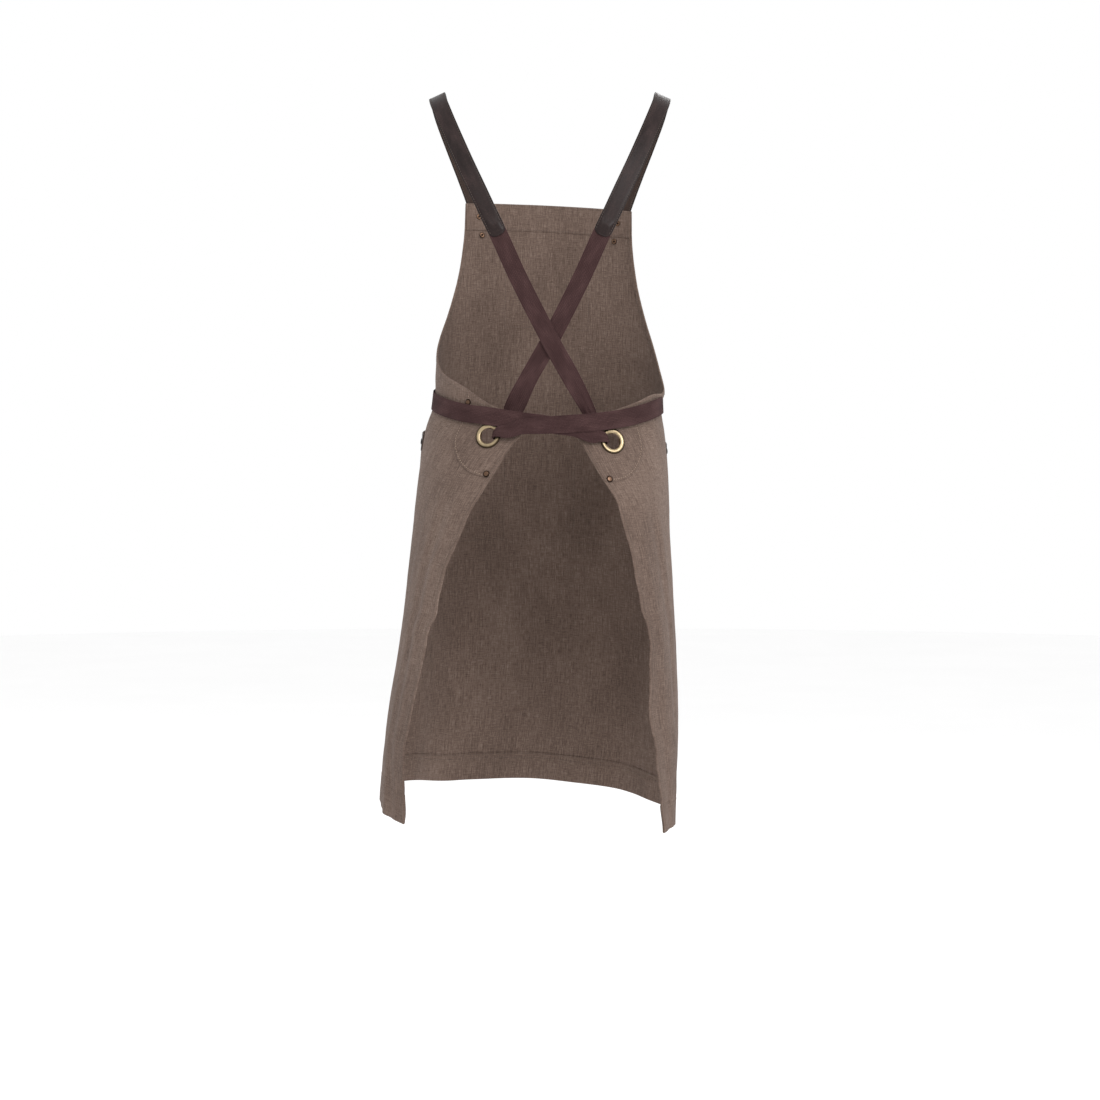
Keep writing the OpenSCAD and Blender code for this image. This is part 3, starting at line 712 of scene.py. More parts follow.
# The tails' bend under the knot, in metres: its depth, and the heights where it starts and ends
LOOP = [
    ((14.7, -122, -405), (0, -1, 0), 12),
    ((30, -122.4, -400), (0, -1, 0.2), 19),
    ((52, -122.8, -401), (0, -1, 0.1), 24),
    ((70, -123.6, -407), (-0.2, -1, 0), 25),
    ((76, -125, -409.5), (-0.8, -0.6, 0), 25),
    ((77.5, -127, -411), (-1, 0, 0), 25),
    ((76, -129, -412), (-0.8, 0.6, 0), 25),
    ((70, -130.4, -413), (-0.2, 1, 0), 25),
    ((52, -131, -413), (0, 1, 0), 24),
    ((30, -129, -411), (0, 1, 0), 19),
    ((14.7, -126.4, -410), (0, 1, 0), 12),
]
TAIL_X, TAIL_TOP, TAIL_TOP_W = 6, -428, 10
TAILS = {"left": (290, 9), "right": (262, 4.6)}


def knot(place, look, width, spread=0.0):
    return np.concatenate([place, unit(np.array(look, float)), [width, spread]])


def flipped(side, place, look, width, spread=0.0):
    """A knot given for the wearer's left, on either side."""
    flip = np.array([side, 1, 1])
    return knot(flip * place, flip * look, width, spread)


def in_axes(axes, side, v):
    """A vector given as towards the rear centre, outward and up, in the model's own axes."""
    return side * v[0] * axes[1] + v[1] * axes[3] + v[2] * axes[2]


def belt_knots(name):
    side, places = SIDES[name], np.array(BELT[name], float)
    count = math.ceil((places[-1, 0] - places[0, 0]) / BELT_STEP)
    for k in range(count + 1):
        travelled = places[0, 0] + (places[-1, 0] - places[0, 0]) * k / count
        _, z, n, width = sample(places, places[:, 0], travelled)
        place, out = form(-side * travelled, z, n)
        yield knot(place, -out, width)


def strap_route(name):
    side = SIDES[name]
    route = []
    for s, z in BIB_PLACES:
        axes = axes_on(cloth, side * s, z)
        route.append(knot(axes[0] + STRAP_LIFT * axes[3], axes[3], STRAP_W, LAYER_HALF))
    for place, look, gap in SHOULDER:
        route.append(flipped(side, place, look, STRAP_W, LAYER_HALF + gap))
    route += [knot(p, (0, 1, 0), STRAP_W) for p in BACK[name]]
    axes = axes_on(cloth, -side * EYELET_S, EYELET_Z)
    for place, look, width in TURN_IN[name] + THROUGH + TURN_OUT[name]:
        route.append(knot(axes[0] + in_axes(axes, -side, place), in_axes(axes, -side, look), width))
    route += belt_knots(name)
    route += [flipped(side, *end) for end in TIE_END]
    return np.array(route)


LEATHER_LAST = len(BIB_PLACES) + len(SHOULDER) - 1
WEBBING_FIRST = LEATHER_LAST - 1


def smooth(route, first, last, step):
    """The stretch of a route between two of its knots, on one smooth curve."""
    at = run_length(route)
    slope = slopes(route, at)
    out = []
    for i in range(first, last):
        h = at[i + 1] - at[i]
        for t in np.linspace(0, 1, max(2, math.ceil(h / step)), endpoint=False):
            out.append(cubic(route[i], slope[i], route[i + 1], slope[i + 1], h, t))
    return np.array(out + [route[last]])


def ribbon_axes(path):
    ahead, behind = np.roll(path[:, :3], -1, 0), np.roll(path[:, :3], 1, 0)
    ahead[-1], behind[0] = path[-1, :3], path[0, :3]
    t = unit(ahead - behind)
    look = unit(path[:, 3:6])
    look = unit(look - (look * t).sum(1)[:, None] * t)
    return t, look, np.cross(t, look)


def ribbon(name, path, across, top, bottom, widen=1.0):
    """Strap along a path. across holds the columns' places in millimetres on a full width strap,
    top and bottom the two faces' distances along the outer direction, as rows by columns."""
    _, look, wide = ribbon_axes(path)
    scale = path[:, 6] / STRAP_W * widen
    place = path[:, None, :3] - wide[:, None] * (scale[:, None] * across)[..., None]
    faces = [
        place + look[:, None] * np.broadcast_to(f, place.shape[:2])[..., None] for f in (top, bottom)
    ]
    uv = np.stack(np.broadcast_arrays(across[None] * 1.0, run_length(path)[:, None]), -1) * MM
    return shell(name, *faces, uv)


def rounded(across, r=0.8):
    """Thickness factor that rounds a strap's edges."""
    return round_edge(STRAP_W / 2 - np.abs(across), r, 0.06)


# ---------------------------------------------------------------- stitching
STITCH, STITCH_GAP, THREAD_R, STITCH_SUNK = 2.7, 1.1, 0.32, 0.12


def bead_ring(place, along, out, side):
    """One stitch: a plump capsule lying along the seam, its ends sunk."""
    low = place - out * STITCH_SUNK
    points = [low - along * STITCH / 2, low + along * STITCH / 2]
    for a in (-0.3, 0.3):
        for u, v in ((1, 0), (0, 1), (-1, 0), (0, -0.6)):
            points.append(place + along * STITCH * a + side * u * THREAD_R + out * v * THREAD_R)
    return points


BEAD_FACES = (
    [(0, 2 + (k + 1) % 4, 2 + k) for k in range(4)]
    + [(2 + k, 2 + (k + 1) % 4, 6 + (k + 1) % 4, 6 + k) for k in range(4)]
    + [(1, 6 + k, 6 + (k + 1) % 4) for k in range(4)]
)


def stitches(name, rows):
    """Rows of stitches; each row is a line of points and the directions out of the material."""
    points, faces = [], []
    for line, out in rows:
        at = run_length(line)
        count = int((at[-1] - STITCH_GAP) / (STITCH + STITCH_GAP))
        middles = (np.arange(count) + 0.5) * at[-1] / count
        place, up = sample(line, at, middles), unit(sample(out, at, middles))
        along = unit(sample(line, at, middles + 0.6) - sample(line, at, middles - 0.6))
        side = unit(np.cross(up, along))
        for k in range(count):
            slant = unit(along[k] + 0.1 * side[k])
            base = len(points)
            points += bead_ring(place[k], slant, up[k], np.cross(up[k], slant))
            faces += [tuple(base + v for v in f) for f in BEAD_FACES]
    return new_object(name, points, faces)


def seam(s, z, n, face=1):
    """A row of stitches on the draped cloth, from its cut line; face -1 is the inside."""
    s, z = (np.asarray(v, float) for v in np.broadcast_arrays(s, z))
    out = np.cross(dress(s + 1, z, n) - dress(s - 1, z, n), dress(s, z + 1, n) - dress(s, z - 1, n))
    return dress(s, z, n), face * unit(out)


# ---------------------------------------------------------------- the panel and its facings
def panel_thickness(s, z):
    """Outer and inner distance from the cloth's middle: rounded edges, and a narrow turned hem
    down the armholes and the rear edges."""
    turned = smoothstep(SIDE_HEM + 1.4, SIDE_HEM, side_distance(s, z))
    lift = 0.3 * smoothstep(HEM_Z + HEM_DEPTH + 1.2, HEM_Z + HEM_DEPTH - 0.8, z)
    outer = CLOTH_T / 2 + 0.2 * turned + lift
    inner = CLOTH_T / 2 + 0.7 * turned - lift
    t = round_edge(edge_distance(s, z), 0.9)
    middle, half = (outer - inner) / 2, (outer + inner) / 2
    return middle + half * t, middle - half * t


def cut_uv(s, z):
    return np.stack([s, z], -1) * MM


def sewn_cloth(name, node, s, z, outer, inner, shift=0, keep=None, way=1):
    """A finished piece of cloth on the draped one; shift moves its weave, way -1 turns its grid."""
    grids = dress(s, z, outer), dress(s, z, inner), cut_uv(s + shift, z), keep
    piece = shell(name, *(g if g is None else g[:, ::way] for g in grids))
    finish_piece(piece, "apron_cloth", node)
    return piece


def build_panel():
    s, z = panel_grid()
    s, z, left = make_hole(s, z, (-EYELET_S, EYELET_Z), EYELET_HOLE)
    s, z, right = make_hole(s, z, (EYELET_S, EYELET_Z), EYELET_HOLE)
    return sewn_cloth("apron_cloth", "apron_panel", s, z, *panel_thickness(s, z), keep=left & right)


def build_facing(name, node, s, z, raw):
    """Cloth doubled on the inside; raw is each point's distance from the strip's own edges."""
    middle = panel_thickness(s, z)[1] - LAYER_GAP - FACING_T / 2
    half = FACING_T / 2 * round_edge(raw, 0.8)
    return sewn_cloth(name, node, s, z, middle + half, middle - half)


def build_facings():
    inset, near = 0.5, [0, 0.3, 0.8, 2, 4]
    top = HEM_Z + HEM_DEPTH
    low_rows = HEM_Z + np.array([2.2, 1.2, 0.8, inset])
    s, z = grid(
        np.concatenate([top - np.array(near), fine(HEM_Z + 34, HEM_Z + 5, 5), low_rows]),
        np.clip(panel_columns(), -HALF_W + inset, HALF_W - inset),
    )
    raw = nearest(HALF_W - np.abs(s), top - z, z - HEM_Z - inset)
    hem = build_facing("deep_hem", "hem_facing", s, z, raw)
    top, low, half = BIB_Z - inset, BIB_Z - FACING_DEPTH, BIB_HALF - 0.8
    s, z = grid(
        close_ends(top, low, near, 8, 4),
        mirrored(np.concatenate([fine(0, half - 6, 4), half - np.array(near[::-1])])),
    )
    raw = nearest(half - np.abs(s), top - z, z - low)
    return hem, build_facing("bib_band", "bib_facing", s, z, raw)


# ---------------------------------------------------------------- corner patches
PATCH_OFFSET = np.array([10, -10.0])
PATCH_R, PATCH_INSET = 91.5, 1.2
PATCH_SPAN = (-15.2, 90)
PATCH_T = 0.95
ARC_SEAM = 3.0


def patch_reach(t):
    """Distance from the rear corner to the patch's round edge in a direction."""
    along = PATCH_OFFSET[0] * np.cos(t) + PATCH_OFFSET[1] * np.sin(t)
    return along + np.sqrt(along**2 - PATCH_OFFSET @ PATCH_OFFSET + PATCH_R**2)


def patch_line(inside, span):
    """A line round the patch this far inside its round edge."""
    t = np.radians(np.linspace(*span, 90))
    r = patch_reach(t) - PATCH_INSET - inside
    s = HALF_W - PATCH_INSET - r * np.cos(t)
    return s, np.minimum(CORNER_Z - PATCH_INSET - r * np.sin(t), top_edge(s) - PATCH_INSET)


def patch_base(s, z):
    return panel_thickness(s, z)[0] + LAYER_GAP


def build_patch(name):
    near = np.array([0, 0.15, 0.4, 0.9, 1.8])
    shares = np.concatenate([
        [0.02, 0.05], np.linspace(0.09, 0.9, 46), [0.925, 0.945, 0.96, 0.97, 0.98, 0.988, 0.994, 1],
    ])
    spokes = np.radians(np.concatenate([
        PATCH_SPAN[0] + near, np.linspace(-12, 87, 72), PATCH_SPAN[1] - near[::-1],
    ]))
    reach = patch_reach(spokes) - PATCH_INSET
    s = HALF_W - PATCH_INSET - shares[:, None] * reach * np.cos(spokes)
    z = CORNER_Z - PATCH_INSET - shares[:, None] * reach * np.sin(spokes)
    z = np.minimum(z, top_edge(s) - PATCH_INSET)
    s, z, keep = make_hole(s, z, (EYELET_S, EYELET_Z), EYELET_HOLE)
    from_arc = (1 - shares)[:, None] * reach
    straight = nearest(top_edge(s) - PATCH_INSET - z, HALF_W - PATCH_INSET - s)
    rim = smoothstep(4.6, 2.8, from_arc) * smoothstep(1.4, 2.8, from_arc)
    half = PATCH_T / 2 * round_edge(nearest(from_arc, straight + 0.05), 0.7)
    middle = patch_base(s, z) + PATCH_T / 2 - 0.12 * rim
    node, side = f"corner_patch_{name}", SIDES[name]
    outer, inner = middle + half, middle - half
    return sewn_cloth(f"{node}_cloth", node, side * s, z, outer, inner, 2000, keep, side)


# ---------------------------------------------------------------- pockets
POCKET_GAP, POCKET_T, TRIM_T, TRIM_GAP = 11, 1.0, 1.1, 0.15
POCKET_BASE = 1.15
POCKET_SEAMS, TRIM_SEAM = (2.4, 7.4), 2.3
POCKETS = {
    "hip_pocket_left": (HIP_S, HIP_Z),
    "hip_pocket_right": ((-HIP_S[1], -HIP_S[0]), HIP_Z),
    "chest_pocket": (CHEST_S, CHEST_Z),
}


def pocket_stand(s, z, place):
    """How far a pocket's inner face stands off the cloth's middle."""
    (left, right), (top, low) = place
    u, v = np.clip((s - left) / (right - left), 0, 1), np.clip((z - top) / (low - top), 0, 1)
    puff = POCKET_GAP * np.sin(np.pi * u) ** 0.95 * (1 - v**2)
    return POCKET_BASE - 0.3 * smoothstep(8, 0, puff) + puff


def trim_base(s, z, place):
    return pocket_stand(s, z, place) + POCKET_T + TRIM_GAP


def build_pocket(name):
    place = POCKETS[name]
    (left, right), (top, low) = place
    near = np.array([0, 0.3, 0.8, 1.6, 3, 5])
    s, z = grid(
        np.concatenate([top - near[:-1], fine(top - 6, low + 7, 4.5), low + near[::-1]]),
        close_ends(left, right, near, 7.5, 4.5),
    )
    sewn = nearest(s - left, right - s, z - low)
    t = round_edge(nearest(sewn, top - z), 0.8)
    # the turned edge, drawn in along its two seams
    turned = 0.25 * smoothstep(8.4, 7.2, sewn)
    for inset in POCKET_SEAMS:
        turned = turned - 0.2 * bump(sewn, inset, 1.0)
    middle = pocket_stand(s, z, place) + POCKET_T / 2
    half = POCKET_T / 2 * t
    return sewn_cloth(f"{name}_cloth", name, s, z, middle + half + turned * t, middle - half, 1000)


def build_trim(name):
    place = POCKETS[name]
    (left, right), (top, _) = place
    low = top - TRIM_DEPTH
    near = [0, 0.2, 0.5, 1.0, 1.8, 2.3, 2.8, 3.6]
    s, z = grid(close_ends(top, low, near, 5, 2.5), close_ends(left, right, near, 6, 4.5))
    half = TRIM_T / 2 * round_edge(nearest(s - left, right - s, top - z, z - low), 0.7)
    groove = 0.22 * bump(nearest(top - z, z - low), TRIM_SEAM, 0.55)
    middle = trim_base(s, z, place) + TRIM_T / 2
    trim = shell(
        f"{name}_trim_leather", dress(s, z, middle + half - groove), dress(s, z, middle - half),
        cut_uv(z - top + TRIM_DEPTH / 2, s),
    )
    finish_piece(trim, "dark_leather", name.replace("pocket", "pocket_trim"))


# ---------------------------------------------------------------- leather straps and webbing
LEATHER_COLUMNS = mirrored([0, 3, 6, 8, 9, 9.7, 10.2, 10.7, 11.2, 11.8, 12.2, 12.4, 12.5])
WEBBING_COLUMNS = mirrored([0, 1.6, 3.2, 4.8, 6.4, 8, 9.6, 10.8, 11.7, 12.2, 12.5])
STRAP_SEAM = 10.2
END_ROUND = 10


def end_width(at):
    """Width factor that rounds both ends of a strap."""
    d = nearest(at, at[-1] - at, END_ROUND)
    corner = STRAP_W / 2 - END_ROUND + np.sqrt(np.clip(END_ROUND**2 - (END_ROUND - d) ** 2, 0, None))
    return corner / (STRAP_W / 2)


def strap_path(name):
    """The leather's path, with more rings near both ends, so that its rounded ends are smooth."""
    path = smooth(strap_route(name), 0, LEATHER_LAST, 3)
    at = run_length(path)
    near = [0, 0.15, 0.4, 0.9, 1.7, 2.8, 4.2, 5.6, 7]
    return sample(path, at, close_ends(0, at[-1], near, 10, 4))


def layer_faces(path, across, layer):
    """The middle and half the thickness of one leather layer, and the distance to the ends."""
    at = run_length(path)
    over_tie = (path[:, 7] - LAYER_HALF)[:, None] * (1 - 0.55 * smoothstep(8.2, 11.2, np.abs(across)))
    end = nearest(at, at[-1] - at)[:, None]
    half = LEATHER_T / 2 * (rounded(across, 0.7) * round_edge(end, 0.8))
    return layer * (LAYER_HALF + over_tie), half, end


def build_strap(name):
    path = strap_path(name)
    at = run_length(path)
    wide = end_width(at)
    columns, off = LEATHER_COLUMNS, np.abs(LEATHER_COLUMNS)
    middle, half, end = layer_faces(path, columns, 1)
    end_seam = 0.5 * bump(end, STRAP_W / 2 - STRAP_SEAM + 0.4, 0.7) * (off < STRAP_SEAM)
    groove = np.maximum(0.2 * bump(off, STRAP_SEAM, 0.5), end_seam)
    soft = 0.04 * np.sin(at[:, None] / 17 + SIDES[name]) * np.cos(columns / 9)
    # the tie's end shows through at the back
    to_end = (at[-1] - at)[:, None]
    knuckle = 1.9 * smoothstep(24, 18, to_end) * smoothstep(-2, 18, to_end) * smoothstep(9.3, 6, off)
    top = middle + half - groove + soft + knuckle
    leather = ribbon(f"strap_{name}_leather", path, columns, top, middle - half, wide)
    finish_piece(leather, "dark_leather", f"strap_leather_{name}")
    middle, half, _ = layer_faces(path, columns, -1)
    lining = ribbon(f"strap_{name}_lining", path, columns, middle + half, middle - half, wide)
    finish_piece(lining, "strap_lining", f"strap_lining_{name}")


def strap_seams(name):
    """Stitches along both edges of a strap and round its ends, on the leather and on the lining."""
    path = strap_path(name)
    at = run_length(path)
    inset = STRAP_W / 2 - STRAP_SEAM
    corner = END_ROUND - inset
    # the seam's outline in the strap's own plane: u along it and x across it
    t = np.radians(np.linspace(90, 0, 9))
    end_u = inset + corner * (1 - np.cos(t))
    end_x = STRAP_SEAM - corner * (1 - np.sin(t))
    round_u = np.concatenate([end_u, np.full(5, inset), end_u[::-1]])
    round_x = np.concatenate([end_x, np.linspace(end_x[-1], -end_x[-1], 7)[1:-1], -end_x[::-1]])
    long_u = fine(inset + corner, at[-1] - inset - corner, 3)
    outline = [(long_u, np.full(len(long_u), side * STRAP_SEAM)) for side in (-1, 1)]
    outline += [(round_u, round_x), (at[-1] - round_u, round_x)]
    for layer in (1, -1):
        middle, half, _ = layer_faces(path, np.array([STRAP_SEAM, 0.0]), layer)
        surface = middle[:, 0] + layer * (half[:, 0] - 0.02)
        table = np.column_stack([path[:, :3], *ribbon_axes(path)[1:], surface])
        for u, x in outline:
            place, look, wide, n = np.split(sample(table, at, u), [3, 6, 9], 1)
            yield place + look * n - wide * x[:, None], layer * look


def crease(width, across):
    """Bunched webbing folds into three ridges, away from the cloth."""
    depth = 1.7 * np.clip((STRAP_W - width) / (STRAP_W - BUNCHED_W), 0, 1)
    return depth[:, None] * (0.5 + 0.5 * np.cos(6 * np.pi * across / STRAP_W))


WEBBING_HALF = WEBBING_DRAWN_T / 2 * rounded(WEBBING_COLUMNS)


def build_webbing(name):
    route = strap_route(name)
    path = smooth(route, WEBBING_FIRST, len(route) - 1, 4)
    at = run_length(path)
    # between the leather layers the tie is a little narrower than the strap
    wide = 1 - 0.1 * smoothstep(34, 26, at)
    after = smoothstep(60, 130, at)[:, None]
    seed = 5 + SIDES[name]
    wave = [[noise.noise(Vector((a / 23, x / 14, seed))) for x in WEBBING_COLUMNS] for a in at]
    rise = crease(path[:, 6], WEBBING_COLUMNS) * after + 0.35 * (0.5 + 0.5 * np.array(wave)) * after
    top, low = WEBBING_HALF - rise, -WEBBING_HALF - rise
    web = ribbon(f"tie_{name}_webbing", path, WEBBING_COLUMNS, top, low, wide)
    finish_piece(web, "webbing", f"webbing_{name}")


# ---------------------------------------------------------------- the bow at the front
def build_loop(name):
    route = np.array([flipped(SIDES[name], *place) for place in LOOP])
    path = smooth(route, 0, len(route) - 1, 2.5)
    lift = 0.22 * crease(path[:, 6], WEBBING_COLUMNS)
    top, low = lift + WEBBING_HALF, lift - WEBBING_HALF
    loop = ribbon(f"bow_{name}_webbing", path, WEBBING_COLUMNS, top, low)
    finish_piece(loop, "webbing", f"bow_loop_{name}")
    run_length(path)[-1] * MM


def build_tail(name):
    """A tail of webbing from inside the knot down over the skirt, its end turned under and sewn."""
    side = SIDES[name]
    length, stand = TAILS[name]
    knots = [knot((side * 3, -123.5, -412), (0, -1, 0.1), TAIL_TOP_W)]
    for share in np.arange(9) / 8:
        z = TAIL_TOP - share * length
        y = cloth(0, z, stand + 3 * (1 - share) ** 6)[1]
        width = TAIL_TOP_W + (STRAP_W - TAIL_TOP_W) * min(1, 3 * share)
        knots.append(knot((side * TAIL_X, y, z), (0, -1, 0.1), width))
    path = smooth(np.array(knots), 0, 9, 4)
    at = run_length(path)
    to_end = (at[-1] - at)[:, None]
    lift = 0.24 * crease(path[:, 6], WEBBING_COLUMNS)
    lift = lift + 0.2 * np.sin(at / 38 + side)[:, None] * np.cos(WEBBING_COLUMNS / 7)
    half = WEBBING_HALF * round_edge(to_end, 0.8)
    low = lift - half - 0.63 * smoothstep(14, 12.5, to_end)
    tail = ribbon(f"tail_{name}_webbing", path, WEBBING_COLUMNS, lift + half, low)
    tail.data.materials.append(MATERIALS["webbing"])
    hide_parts(f"tie_tail_{name}")
    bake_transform(tail)


def build_knot():
    """The bow's knot: a core of gathered webbing with one turn wrapped over it."""
    u, v = np.meshgrid(np.linspace(0, 2 * np.pi, 73), np.linspace(-1, 1, 41))
    r = np.sqrt(np.clip(1 - np.abs(v) ** 3.2, 0, 1)) * (1 + 0.07 * np.cos(7 * u + 3 * v) * (1 - v**2))
    core = np.stack([v, r * np.cos(u), r * np.sin(u)], -1) * CORE_HALF + BOW
    rows, cols = u.shape
    faces = []
    for i in range(rows - 1):
        for j in range(cols - 1):
            a, b = i * cols + j, i * cols + (j + 1) % (cols - 1)
            faces.append((a, a + cols, b + cols, b))
    uv = cut_uv(u * 8, CORE_HALF[0] * v).reshape(-1, 2)
    core_piece = new_object("bow_knot_core", core.reshape(-1, 3), faces, uv)
    turn = np.radians(np.arange(0, 366, 6))
    sin, cos = np.sin(turn), np.cos(turn)
    place = np.stack([sin, -cos, sin], -1) * WRAP_HALF + BOW
    look = unit(np.stack([0 * turn, -cos, sin], -1) / WRAP_HALF)
    path = np.column_stack([place, look, np.full(len(turn), WRAP_W), 0 * turn])
    part = WEBBING_COLUMNS / (STRAP_W / 2)
    crown = 0.9 * (1 - part**2) - 0.25 * np.cos(part * 3 * np.pi)
    half = 0.7 * rounded(WEBBING_COLUMNS)
    wrap = ribbon("bow_knot_wrap", path, WEBBING_COLUMNS, crown * 0.5 + half, crown * 0.5 - half)
    finish_piece(wrap, "webbing")
    finish_piece(core_piece, "webbing", "tie_knot")


# ---------------------------------------------------------------- brass
TURNED = 72
EYELET_R, FLANGE_R, RIVET_R = 11.5, 18.2, 4.8


def lathe(name, places, profiles, closed):
    """Turned pieces, one at each place. A profile's points are radius, height along the outward
    direction, and a rim mark from 0 to 1 that sets how much painted shade the brass gets there."""
    points, faces, uv = [], [], []
    turn = np.linspace(0, 2 * np.pi, TURNED, endpoint=False)
    for axes, profile in zip(places, profiles):
        base = len(points)
        count = len(profile)
        for r, h, rim in profile:
            for k, a in enumerate(turn):
                points.append(axes[0] + r * (np.cos(a) * axes[1] + np.sin(a) * axes[2]) + h * axes[3])
                uv.append((rim, k / TURNED))
        rings = base + np.arange(count * TURNED).reshape(count, TURNED)
        for here, there in zip(rings, np.roll(rings, -1, 0) if closed else rings[1:]):
            faces += zip(here, np.roll(here, -1), np.roll(there, -1), there)
        if not closed:
            faces += [rings[0][::-1], rings[-1]]
    return new_object(name, points, faces, uv)


def arc(middle_r, middle_h, half_w, half_h, start, stop, count, shade_marks):
    """Part of an oval; the last argument holds the painted shade marks at the oval's inner and outer
    side.
    """
    t = np.radians(np.linspace(start, stop, count))
    rim = shade_marks[0] + (shade_marks[1] - shade_marks[0]) * (1 + np.cos(t)) / 2
    return [(middle_r + half_w * np.cos(a), middle_h + half_h * np.sin(a), c) for a, c in zip(t, rim)]


PATCH_TOP = CLOTH_T / 2 + 0.2 + LAYER_GAP + PATCH_T


def build_eyelet(name):
    axes = axes_on(dress, SIDES[name] * EYELET_S, EYELET_Z)
    half = (FLANGE_R - EYELET_R) / 2
    base, barrel_r = PATCH_TOP - 0.15, EYELET_R + 0.7
    # rim marks: painted shade on the flange's outer roll and on the outer part of the turned-over end
    # inside
    profile = (
        arc(EYELET_R + half, base + 0.25, half, 1.75, 180, 0, 25, (0, 1))
        + [(FLANGE_R, base, 1), (barrel_r, base, 0.5), (barrel_r, -2.1, 0.5)]
        + arc(EYELET_R + 1.4, -1.95, 1.4, 0.9, 0, -180, 13, (0.3, 1))
    )
    eyelet = lathe(f"eyelet_{name}_brass", [axes], [profile[::-1]], True)
    finish_piece(eyelet, "eyelet_brass", f"eyelet_{name}")
    inner, outer = EYELET_R + 0.9, FLANGE_R - 0.2
    # rim marks: painted shade on the washer's outer edge
    washer_profile = (
        [(inner, -0.8, 0.3), (outer, -0.8, 0.9)]
        + arc(outer, -1.2, 0.4, 0.4, 90, -90, 7, (0.9, 1))
        + [(outer - 1.5, -1.75, 0.6), (inner, -1.75, 0.3)]
    )
    washer = lathe(f"washer_{name}_brass", [axes], [washer_profile[::-1]], True)
    finish_piece(washer, "eyelet_brass", f"eyelet_washer_{name}")


def rivet_profile(top, low):
    """From the head's middle over the dome, down the post and to the flat cap inside."""
    cap = RIVET_R - 0.6
    # rim marks: painted shade rising from the dome's top to its edge, and under the head, on the post
    # and on most of the cap
    return arc(0, top, RIVET_R, 1.3, 88, 8, 14, (-1, 1)) + [
        (RIVET_R, top - 0.05, 1), (RIVET_R - 0.4, top - 0.25, 1), (1.5, top - 0.25, 1), (1.5, low, 1),
        (cap - 0.3, low, 1), (cap, low - 0.3, 1), (cap - 0.4, low - 0.8, 0.7), (1.6, low - 0.85, 0.3),
        (1.3, low - 0.6, 0.9), (0.1, low - 0.6, 0.8),
    ]


def build_rivets(name, node, places, low, top):
    """Set rivets: places in the cut, the caps' seat and the head's seat at each place."""
    axes = [axes_on(dress, s, z) for s, z in places]
    profiles = [rivet_profile(seat, low)[::-1] for seat in np.broadcast_to(top, len(places))]
    finish_piece(lathe(name, axes, profiles, False), "rivet_brass", node)


# ---------------------------------------------------------------- put it together
panel = build_panel()
facings = build_facings()
patches = [build_patch(name) for name in SIDES]
pockets = [build_pocket(name) for name in POCKETS]
for name in POCKETS:
    build_trim(name)

across = np.linspace(-HALF_W, HALF_W, 401)
2 * HALF_W * MM * float(np.mean(top_edge(across) - HEM_Z)) * MM

for build in (build_strap, build_webbing, build_loop):
    for name in SIDES:
        build(name)
build_knot()
for name in SIDES:
    build_tail(name)

for name, side in SIDES.items():
    build_eyelet(name)
    for part, places, low, top in (
        ("patch", PATCH_RIVETS, -1.5, PATCH_TOP),
        ("strap", STRAP_RIVETS, -1.8, STRAP_LIFT + LAYER_HALF + LEATHER_T / 2),
    ):
        places = [(side * s, z) for s, z in places]
        build_rivets(f"{part}_{name}_rivets", f"{part}_rivets_{name}", places, low, top)
for name, place in POCKETS.items():
    (left, right), (top, _) = place
    places = np.array([(s, top - TRIM_DEPTH / 2) for s in (left + POCKET_RIVET, right - POCKET_RIVET)])
    seats = trim_base(*places.T, place) + TRIM_T - 0.3
    node = name.replace("pocket", "pocket_rivets")
    build_rivets(f"{name}_rivets", node, places, -CLOTH_T / 2 - 0.05, seats)


# ---------------------------------------------------------------- stitching
def panel_seam(s, z, behind=0.0):
    """Stitches through the panel and a layer this deep behind it, seen on both faces."""
    out, inner = panel_thickness(s, z)
    return [seam(s, z, out), seam(s, z, inner - behind, -1)]


def patch_seam(s, z, sunk=0.0):
    return [seam(s, z, patch_base(s, z) + PATCH_T - sunk)]


cloth_rows, patch_rows = [], []
for sign in (-1, 1):
    line = bezier(ARMHOLE, np.linspace(0.012, 0.995, 160))
    tangent = unit(np.gradient(line, axis=0))
    line = line + SIDE_SEAM * np.stack([tangent[:, 1], -tangent[:, 0]], -1)
    s, z = line[line[:, 0] < HALF_W - SIDE_SEAM].T
    cloth_rows += panel_seam(sign * s, z)
    cloth_rows += panel_seam(sign * (HALF_W - SIDE_SEAM), fine(CORNER_Z - SIDE_SEAM, HEM_Z + 1, 6))
    s = fine(HALF_W - 101, HALF_W - 4, 4)
    cloth_rows += patch_seam(sign * s, top_edge(s) - SIDE_SEAM)
    cloth_rows += patch_seam(sign * (HALF_W - SIDE_SEAM), fine(CORNER_Z - 7, CORNER_Z - 78, 4))
    s, z = patch_line(ARC_SEAM, (-13.5, 88.5))
    patch_rows += patch_seam(sign * s, z, 0.1)
for up in (2, 8):
    s = fine(-HALF_W + 2, HALF_W - 2, 6)
    cloth_rows += panel_seam(s, HEM_Z + HEM_DEPTH - up, LAYER_GAP + FACING_T)
for down in (2.7, FACING_DEPTH - 2):
    s = fine(-BIB_HALF + 3, BIB_HALF - 3, 6)
    cloth_rows += panel_seam(s, BIB_Z - down, LAYER_GAP + FACING_T)

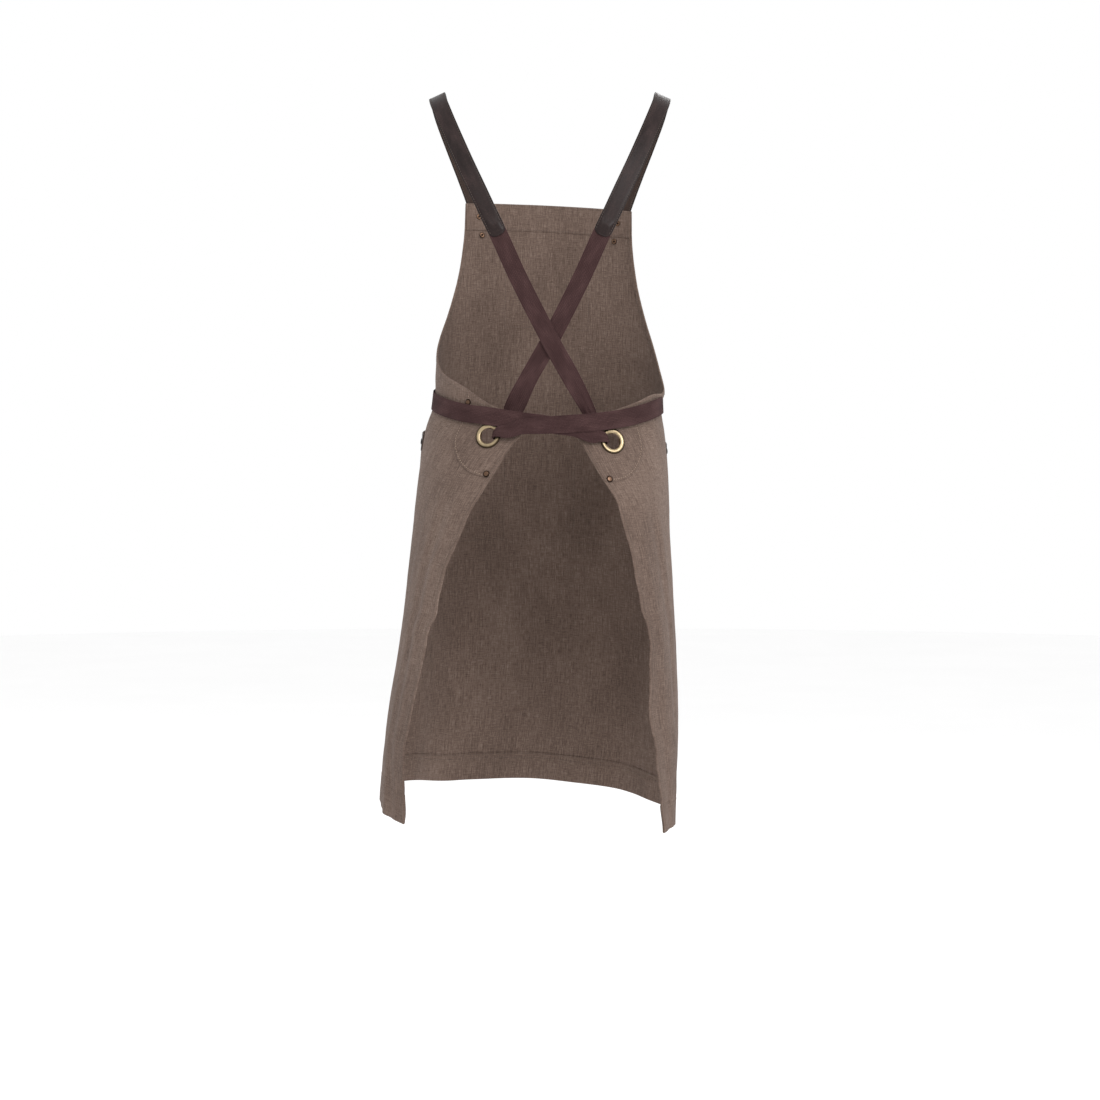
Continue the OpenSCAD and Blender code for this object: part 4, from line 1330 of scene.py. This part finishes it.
pocket_rows, leather_rows = [], []
for place in POCKETS.values():
    (left, right), (top, low) = place
    for inset in POCKET_SEAMS:
        z = fine(top - TRIM_DEPTH - 1, low + inset, 4)
        s = fine(left + inset, right - inset, 4)
        for line in ((left + inset, z), (s, low + inset), (right - inset, z)):
            pocket_rows.append(seam(*line, pocket_stand(*line, place) + POCKET_T))
            if inset == POCKET_SEAMS[0]:
                pocket_rows.append(seam(*line, panel_thickness(*line)[1], -1))
    s = fine(left + 1.5, right - 1.5, 4)
    for z in (top - TRIM_SEAM, top - TRIM_DEPTH + TRIM_SEAM):
        leather_rows.append(seam(s, z, trim_base(s, z, place) + TRIM_T - 0.12))
for name in SIDES:
    leather_rows += strap_seams(name)

for part, rows, slot, thread in (
    ("panel", cloth_rows, "apron_cloth", "dark_thread"),
    ("patch", patch_rows, "apron_cloth", "light_thread"),
    ("pocket", pocket_rows, "apron_cloth", "dark_thread"),
    ("leather", leather_rows, "dark_leather", "dark_thread"),
):
    finish_piece(stitches(f"{part}_stitching", rows), slot, material=thread)


# ---------------------------------------------------------------- studio
FLOOR_R, FLOOR_Z, FLOOR_CORNERS = 9000, -1460, 96


def area_light(name, place, aim, size, watts):
    data = bpy.data.lights.new(name, "AREA")
    data.shape = "DISK"
    data.size = size
    data.energy = watts
    light = bpy.data.objects.new(name, data)
    light.location = place
    light.rotation_euler = (Vector(aim) - Vector(place)).to_track_quat("-Z", "Y").to_euler()
    bpy.context.scene.collection.objects.link(light)


turn = np.linspace(0, 2 * np.pi, FLOOR_CORNERS, endpoint=False)
rim = np.stack([FLOOR_R * np.cos(turn), FLOOR_R * np.sin(turn), 0 * turn + FLOOR_Z], -1)
ground = new_object("studio_ground", rim, [range(FLOOR_CORNERS)])
ground.data.materials.append(floor_material())
world = bpy.data.worlds.new("studio")
world.use_nodes = True
backdrop = world.node_tree.nodes["Background"].inputs
backdrop["Color"].default_value = (1, 1, 1, 1)
backdrop["Strength"].default_value = 1.0
bpy.context.scene.world = world
middle_aim = (0, 0, -0.5)
area_light("key", (-1.7, 2.2, 1.0), middle_aim, 1.6, 40)
area_light("sheen", (0.3, 2.2, 1.9), (0, 0.1, -0.1), 0.7, 13)
area_light("front_key", (-1.4, -2.4, 1.1), middle_aim, 1.6, 28)
area_light("front_fill", (2.0, -2.0, -0.1), middle_aim, 2.0, 12)

camera_data = bpy.data.cameras.new("camera")
camera_data.lens = 66.4
camera_data.sensor_width = 36
camera_data.shift_y = -0.0727
camera = bpy.data.objects.new("camera", camera_data)
camera.location = (0, 2.9, -0.533)
camera.rotation_euler = (math.pi / 2, 0, math.pi)
bpy.context.scene.collection.objects.link(camera)
bpy.context.scene.camera = camera
bpy.context.scene.view_settings.view_transform = "Standard"
